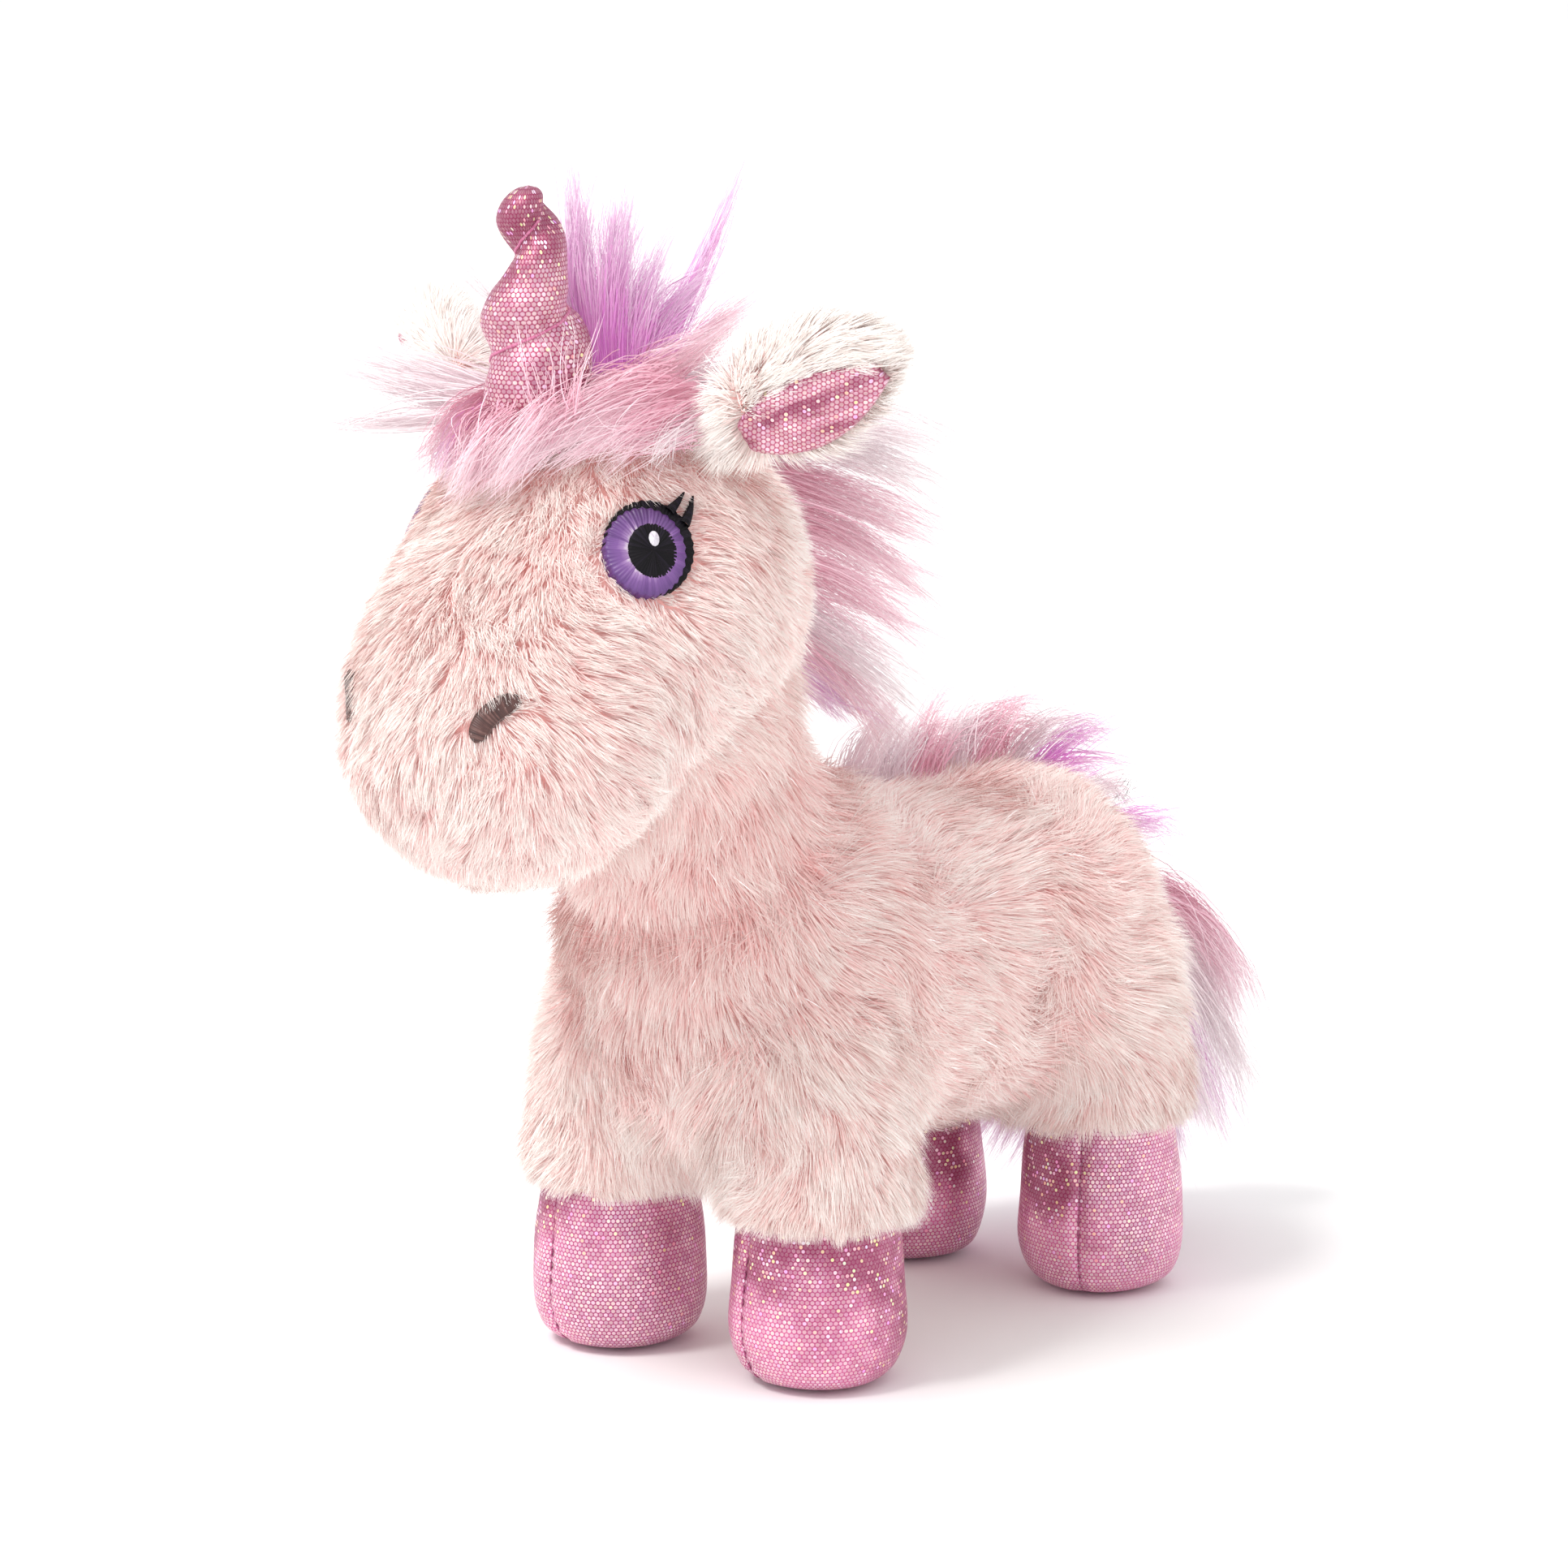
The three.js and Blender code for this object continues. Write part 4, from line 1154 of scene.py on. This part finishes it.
def horn_radius(t, angle):
    slim = np.clip((t - 0.42) / 0.24, 0, 1)
    slimming = 4 * slim * slim * (3 - 2 * slim)
    tip = math.sqrt(max(0.0, 1 - (max(0.0, t - 0.82) / 0.18) ** 2))
    phase = angle - math.tau * GROOVE_TURNS * t
    groove = (1.2 + 2.3 * min(1, max(0.0, t - 0.25) * 4)) * (0.5 + 0.5 * math.cos(phase)) ** 2.6
    swell = 0.5 * (0.5 - 0.5 * math.cos(phase))
    crease = 0.16 * math.sin(9 * angle + 14 * t) * (0.5 + 0.5 * math.cos(phase))
    return (HORN_RADIUS - slimming - (groove - swell + crease) * min(1, t * 8)) * tip


def horn_place(t, angle, lift):
    axis = HORN_TIP - HORN_FOOT
    turn = Vector((0, 0, 1)).rotation_difference(Vector(axis))
    radial = horn_radius(t, angle) + lift
    local = Vector((radial * math.cos(angle), radial * math.sin(angle), float(np.linalg.norm(axis)) * t))
    return np.array(turn @ local) + HORN_FOOT


def add_horn(foil):
    around, steps = 96, 130

    def spot(j, i):
        t = min(-0.12 + 1.12 * (j / steps) ** 0.9, 1.0)
        place = horn_place(max(t, 0), math.tau * i / around, 0)
        if t < 0:
            place = HORN_FOOT + (place - HORN_FOOT) * (1 + t) + np.array([0, 0, HORN_HEIGHT * t])
        return place, (i / around * math.tau * 8.6, HORN_HEIGHT * t)

    mesh = sheet("horn", steps + 1, around, spot, foil, closed=True)
    shown("horn_cover_foil", mesh, "horn", "horn_cover", "horn_stuffing", slot="foil")
    thread = thread_material("horn_thread", [(196, 96, 140), (214, 122, 162), (230, 150, 184)])
    heights = [0.06 + 0.8 * k / 180 for k in range(181)]
    line = [horn_place(t, math.tau * GROOVE_TURNS * t, 0.1) for t in heights]
    spiral = tube("spiral", np.array(line), 0.32, thread)
    shown("horn_spiral_thread_cord", spiral, "horn", "horn_spiral_thread", slot="pink_thread")


def add_ear_foil(side, name, foil):
    """The foil lining of an ear, hollowed a little and gathered into folds at its root."""
    place = ear_frame(side)
    line = ear_foil_line()
    steps, wide = 56, 25

    def spot(j, i):
        t = j / steps
        ahead = unit(curved(line, min(t + 0.01, 1)) - curved(line, max(t - 0.01, 0)))
        s = i / (wide - 1) - 0.5
        u, v = curved(line, t) + np.array([-ahead[1], ahead[0]]) * s * ear_foil_width(t)
        edge = min(1 - abs(2 * s), t * 6, (1 - t) * 6)
        tuck = -1.6 * max(0, 1 - edge / 0.16) ** 2
        fold = 0.5 * math.sin(s * 17 + 1.2) * max(0, 1 - t * 2.2) + 0.25 * math.sin(t * 23 + s * 5)
        hollow = -0.9 * (1 - (2 * s) ** 2) * min(1, t * 4)
        return place.point(u, v, 1.5 + tuck + (fold + hollow) * min(edge * 4, 1)), (u, v)

    cloth = sheet("ear", steps + 1, wide, spot, foil, turned=side > 0)
    thicken(shown(f"{name}_ear_inner_foil", cloth, f"{name}_ear", f"{name}_ear_inner", slot="foil"), 0.8)


# ---- long hair


def hair_materials(name, colours):
    # the long hair has a painted glow too, which lifts its shade
    return [
        strand_material(f"{name}_hair_{k}", colour, 0.12, roughness=0.45, specular=0.4)
        for k, colour in enumerate(colours)
    ]


PALETTES = {
    "lilac": [(232, 150, 224), (232, 164, 221), (233, 182, 222), (235, 200, 227), (239, 217, 234)],
    "pink": [(230, 172, 190), (233, 184, 199), (237, 198, 210), (241, 211, 220), (246, 225, 231)],
    "pale": [(232, 210, 217), (235, 217, 222), (239, 224, 228), (243, 231, 234), (247, 239, 241)],
}


def hair_piece(name, body, node, slot, locks, outline, seed):
    """Locks of long hair as one mesh. A lock is root, bend, tip, two spreads, strands and palette."""
    random = np.random.default_rng(seed)
    points = 8
    t = np.linspace(0, 1, points)[None, :, None]
    lines, palettes = [], []
    for root, bend, tip, wide, narrow, count, palette in locks:
        root, bend, tip = (np.array(p, float) for p in (root, bend, tip))
        wisps = max(4, count // 34)
        wisp_tip = random.normal(size=(wisps, 3)) * narrow
        wisp_bend = random.normal(size=(wisps, 3)) * (wide + narrow) * 0.42
        wisp_length = random.uniform(0.78, 1.04, wisps)
        own = random.integers(wisps, size=count)
        starts = root + random.normal(size=(count, 3)) * wide * 0.5
        loose = random.uniform(0, 1, (count, 1)) ** 3
        bends = bend + wisp_bend[own] + (starts - root) * 0.8
        bends += random.normal(size=(count, 3)) * (0.5 + 2 * loose)
        tips = tip + wisp_tip[own] + (starts - root) * 0.15
        tips += random.normal(size=(count, 3)) * narrow * (0.12 + loose)
        reach = (wisp_length[own] * (1 - 0.4 * random.uniform(0, 1, count) ** 2))[:, None]
        path = curved((starts[:, None], bends[:, None], tips[:, None]), t)
        path = path[:, :1] + (path - path[:, :1]) * reach[:, None]
        phase = random.uniform(0, 6.3, (wisps, 1, 3))[own] + random.normal(0, 0.3, (count, 1, 3))
        path = path + 0.6 * np.sin(t * random.uniform(5, 9, (wisps, 1, 1))[own] + phase) * t
        lines.append(path)
        palettes.append(np.full(count, list(PALETTES).index(palette)))
    line, palette = np.concatenate(lines), np.concatenate(palettes)
    line = lifted(line, outline)
    count = len(line)
    along = unit(line[:, -1] - line[:, 0])
    centre = line[:, 0].mean(0)
    outward = line[:, points // 2] - centre
    outward = unit(along_skin(outward, along) + np.array([0, 0, 0.3]))
    side, face = strand_faces(along, outward, random.normal(0, 0.8, count))
    facing = unit(outward + 0.5 * face)
    width = HAIR_WIDTH * random.uniform(0.5, 1.1, count)[:, None] * np.linspace(1, 0.25, points)[None]
    base = np.linspace(0, 4.2, points - 1)[None] + random.normal(0, 0.7, (count, 1))
    levels = np.clip(np.round(base), 0, 4) + palette[:, None] * 5
    return shown(name, ribbons(name, line, width, side, facing, levels, hair_slots), body, node, slot=slot)


def lifted(lines, outline):
    """Moves the points of hair that would be inside a soft shape onto it."""
    tree, clearance = outline
    flat = lines.reshape(-1, 3)
    first = lines.shape[1]
    for i, place in enumerate(flat.tolist()):
        if i % first == 0:
            continue
        near, normal, _, distance = tree.find_nearest(place, 40)
        if near is None:
            continue
        side = (Vector(place) - near).dot(normal)
        gap = distance if side > 0 else -distance
        if gap < clearance:
            flat[i] = np.array(near + normal * clearance)
    flat[:, 1] = np.minimum(flat[:, 1], HAIR_REACH)
    flat[:, 2] = np.maximum(flat[:, 2], FLOOR_CLEARANCE)
    return flat.reshape(lines.shape)


def add_hair():
    head = (trees["head"], 3.5)
    hair_piece("forelock_tuft_hair", "head", "forelock_tuft", "lilac_hair", [
        ((-2, -75, 212), (-5, -76, 232), (-9, -76, 246), 3.2, 2.4, 260, "lilac"),
        ((0, -72, 213), (-2, -73, 238), (-4, -71, 259), 3.2, 2.6, 420, "lilac"),
        ((1, -68, 213), (0, -68, 238), (1, -63, 256), 3.4, 3.2, 460, "lilac"),
        ((1, -64, 213), (2, -62, 232), (5, -53, 244), 3.4, 3.4, 420, "lilac"),
        ((1, -60, 212), (3, -56, 228), (7, -43, 238), 3.4, 3.4, 380, "lilac"),
        ((1, -57, 212), (4, -46, 232), (7, -29, 265), 2.5, 0.8, 110, "lilac"),
        ((-3, -67, 212), (-9, -66, 228), (-16, -66, 240), 3.2, 3.2, 240, "lilac"),
        ((-4, -68, 211), (-26, -68, 226), (-48, -72, 240), 2.5, 1.5, 130, "pale"),
        ((0, -54, 211), (4, -44, 221), (10, -30, 229), 3.5, 3.4, 320, "pink"),
        ((4, -66, 212), (12, -62, 220), (22, -56, 224), 3.5, 3.0, 300, "pink"),
    ], head, 501)
    hair_piece("forelock_fringe_hair", "head", "forelock_fringe", "pink_hair", [
        ((24, -68, 210), (22, -87, 211), (10, -101, 199), 5.0, 4.0, 460, "pink"),
        ((17, -68, 212), (17, -87, 214), (5, -104, 199), 5.0, 4.0, 480, "pink"),
        ((10, -72, 212), (14, -93, 213), (2, -107, 196), 5.0, 4.0, 480, "pink"),
        ((27, -75, 207), (27, -88, 206), (20, -98, 199), 5.0, 3.6, 300, "pink"),
        ((29, -72, 207), (33, -84, 206), (31, -93, 200), 3.5, 3.0, 110, "pale"),
        ((10, -88, 210), (14, -100, 208), (8, -108, 194), 4.0, 3.0, 430, "pink"),
        ((2, -98, 208), (4, -108, 205), (0, -111, 192), 4.0, 2.8, 430, "pink"),
        ((-5, -96, 208), (-7, -107, 205), (-6, -111, 193), 3.5, 2.6, 300, "pink"),
        ((-7, -95, 208), (-10, -105, 205), (-9, -110, 194), 3.0, 2.4, 120, "lilac"),
        ((-12, -87, 210), (-17, -100, 207), (-14, -108, 195), 3.5, 2.8, 340, "pink"),
        ((-11, -82, 208), (-32, -91, 211), (-63, -97, 215), 3.2, 2.2, 300, "pale"),
        ((-10, -78, 209), (-32, -86, 214), (-64, -94, 223), 3.0, 2.0, 230, "pale"),
        ((-11, -86, 207), (-30, -98, 206), (-59, -99, 202), 3.0, 1.8, 190, "pale"),
        ((9, -98, 207), (9, -98, 220), (5, -97, 233), 4.0, 3.0, 26, "pink"),
        ((14, -92, 208), (14, -92, 220), (11, -88, 230), 3.5, 3.0, 24, "pink"),
    ], (trees["head"], 4.5), 502)
    hair_piece("mane_on_head_hair", "head", "mane_on_head", "pink_hair", [
        ((0, -50, 209), (4, -34, 216), (12, -14, 212), 4.5, 4.0, 380, "pale"),
        ((1, -42, 205), (10, -12, 208), (29, 21, 191), 4.5, 3.6, 480, "pale"),
        ((0, -38, 200), (10, -10, 201), (25, 18, 184), 4.5, 4.0, 460, "pale"),
        ((-2, -38, 202), (-8, -20, 204), (-14, 0, 194), 4.5, 4.0, 380, "pale"),
        ((1, -32, 192), (8, -8, 192), (22, 18, 172), 4.5, 4.4, 500, "pink"),
        ((0, -29, 184), (6, -6, 184), (19, 23, 159), 4.5, 4.4, 500, "pink"),
        ((-2, -30, 188), (-8, -12, 186), (-13, 8, 170), 4.5, 4.4, 380, "pink"),
        ((1, -28, 174), (7, -6, 172), (17, 23, 148), 4.5, 4.4, 460, "pink"),
        ((0, -28, 164), (5, -8, 160), (17, 22, 135), 4.5, 4.0, 440, "pale"),
        ((-2, -29, 168), (-7, -12, 164), (-12, 10, 148), 4.5, 4.0, 340, "pink"),
        ((0, -31, 157), (3, -14, 151), (8, 8, 132), 3.5, 3.0, 340, "lilac"),
        ((0, -30, 160), (6, -10, 155), (11, 15, 129), 3.5, 3.4, 380, "pink"),
    ], head, 503)
    back = (trees["torso"], 3.0)
    hair_piece("mane_on_back_hair", "torso", "mane_on_back", "pale_hair", back_locks(), back, 504)
    hair_piece("tail_hair_locks", "tail", "tail_hair", "pale_hair", [
        ((3, 101, 82), (12, 124, 82), (19, 137, 42), 5.0, 3.6, 620, "pink"),
        ((0, 102, 82), (4, 126, 82), (10, 139, 50), 5.0, 3.2, 580, "pink"),
        ((-3, 101, 82), (-9, 118, 80), (-12, 131, 42), 5.0, 3.6, 520, "pink"),
        ((2, 102, 79), (12, 127, 60), (20, 136, 22), 5.5, 3.6, 640, "pale"),
        ((0, 102, 78), (4, 128, 50), (10, 134, 10), 5.5, 3.6, 640, "lilac"),
        ((-2, 101, 78), (-10, 121, 50), (-15, 125, 13), 5.5, 3.6, 600, "lilac"),
        ((0, 100, 78), (2, 114, 40), (8, 121, 6), 5.5, 3.6, 640, "lilac"),
        ((-2, 100, 78), (-14, 110, 42), (-26, 99, 12), 5.5, 4.0, 900, "lilac"),
        ((-1, 99, 77), (-18, 104, 46), (-36, 88, 12), 5.0, 4.0, 1100, "lilac"),
        ((-1, 99, 77), (-15, 104, 42), (-30, 93, 10), 5.0, 4.0, 800, "lilac"),
        ((2, 100, 78), (9, 114, 50), (14, 124, 16), 5.5, 3.8, 540, "pale"),
    ], (trees["torso"], 4.0), 505)


def back_locks():
    """Short locks that follow the spine from the withers down over the rump."""
    spine = [
        (6, 118), (14, 119), (21, 119), (28, 119), (35, 119.5), (42, 120), (49, 120),
        (56, 119.5), (63, 117.5), (70, 114), (77, 109), (83, 103), (88, 96), (92, 89),
    ]
    locks = []
    for k, (y, z) in enumerate(spine):
        out = unit(np.array([0, max(y - 50, 0), z - 75.0]))
        along = np.array([0, out[2], -out[1]])
        lean = np.array([(6, -5, 1)[k % 3] + (9 if k > 6 else 0), 0, 0])
        rise = (20, 12, 16)[k % 3] + (3 if k > 6 else 0)
        root = np.array([0, y, z])
        bend = root + rise * out + 3 * along + 0.6 * lean
        tip = root + 0.75 * rise * out + 16 * along + lean
        palette = ("pink" if k < 8 else "lilac") if k > 2 and k % 3 < 2 else "pale"
        locks.append((root, bend, tip, 3.8, 4.2, 150, palette))
    return locks


# ---- building the scene

add_camera()
add_studio()
skins, trees = make_skins()
add_skins_and_fur(skins, trees)
hoof_foil = foil_material("hoof_foil", (206, 78, 142), (170, 44, 112))
horn_foil = foil_material("horn_foil", (160, 46, 90), (116, 24, 62), shadow=0.14)
ear_foil = foil_material("ear_foil", (176, 70, 106), (124, 38, 68), shadow=0.13, folds=True)
add_hooves(hoof_foil)
add_horn(horn_foil)
for side, name in ((1, "left"), (-1, "right")):
    add_eye(side, name)
    add_nostril(side, name)
    add_ear_foil(side, name, ear_foil)
hair_slots = [material for name, colours in PALETTES.items() for material in hair_materials(name, colours)]
add_hair()
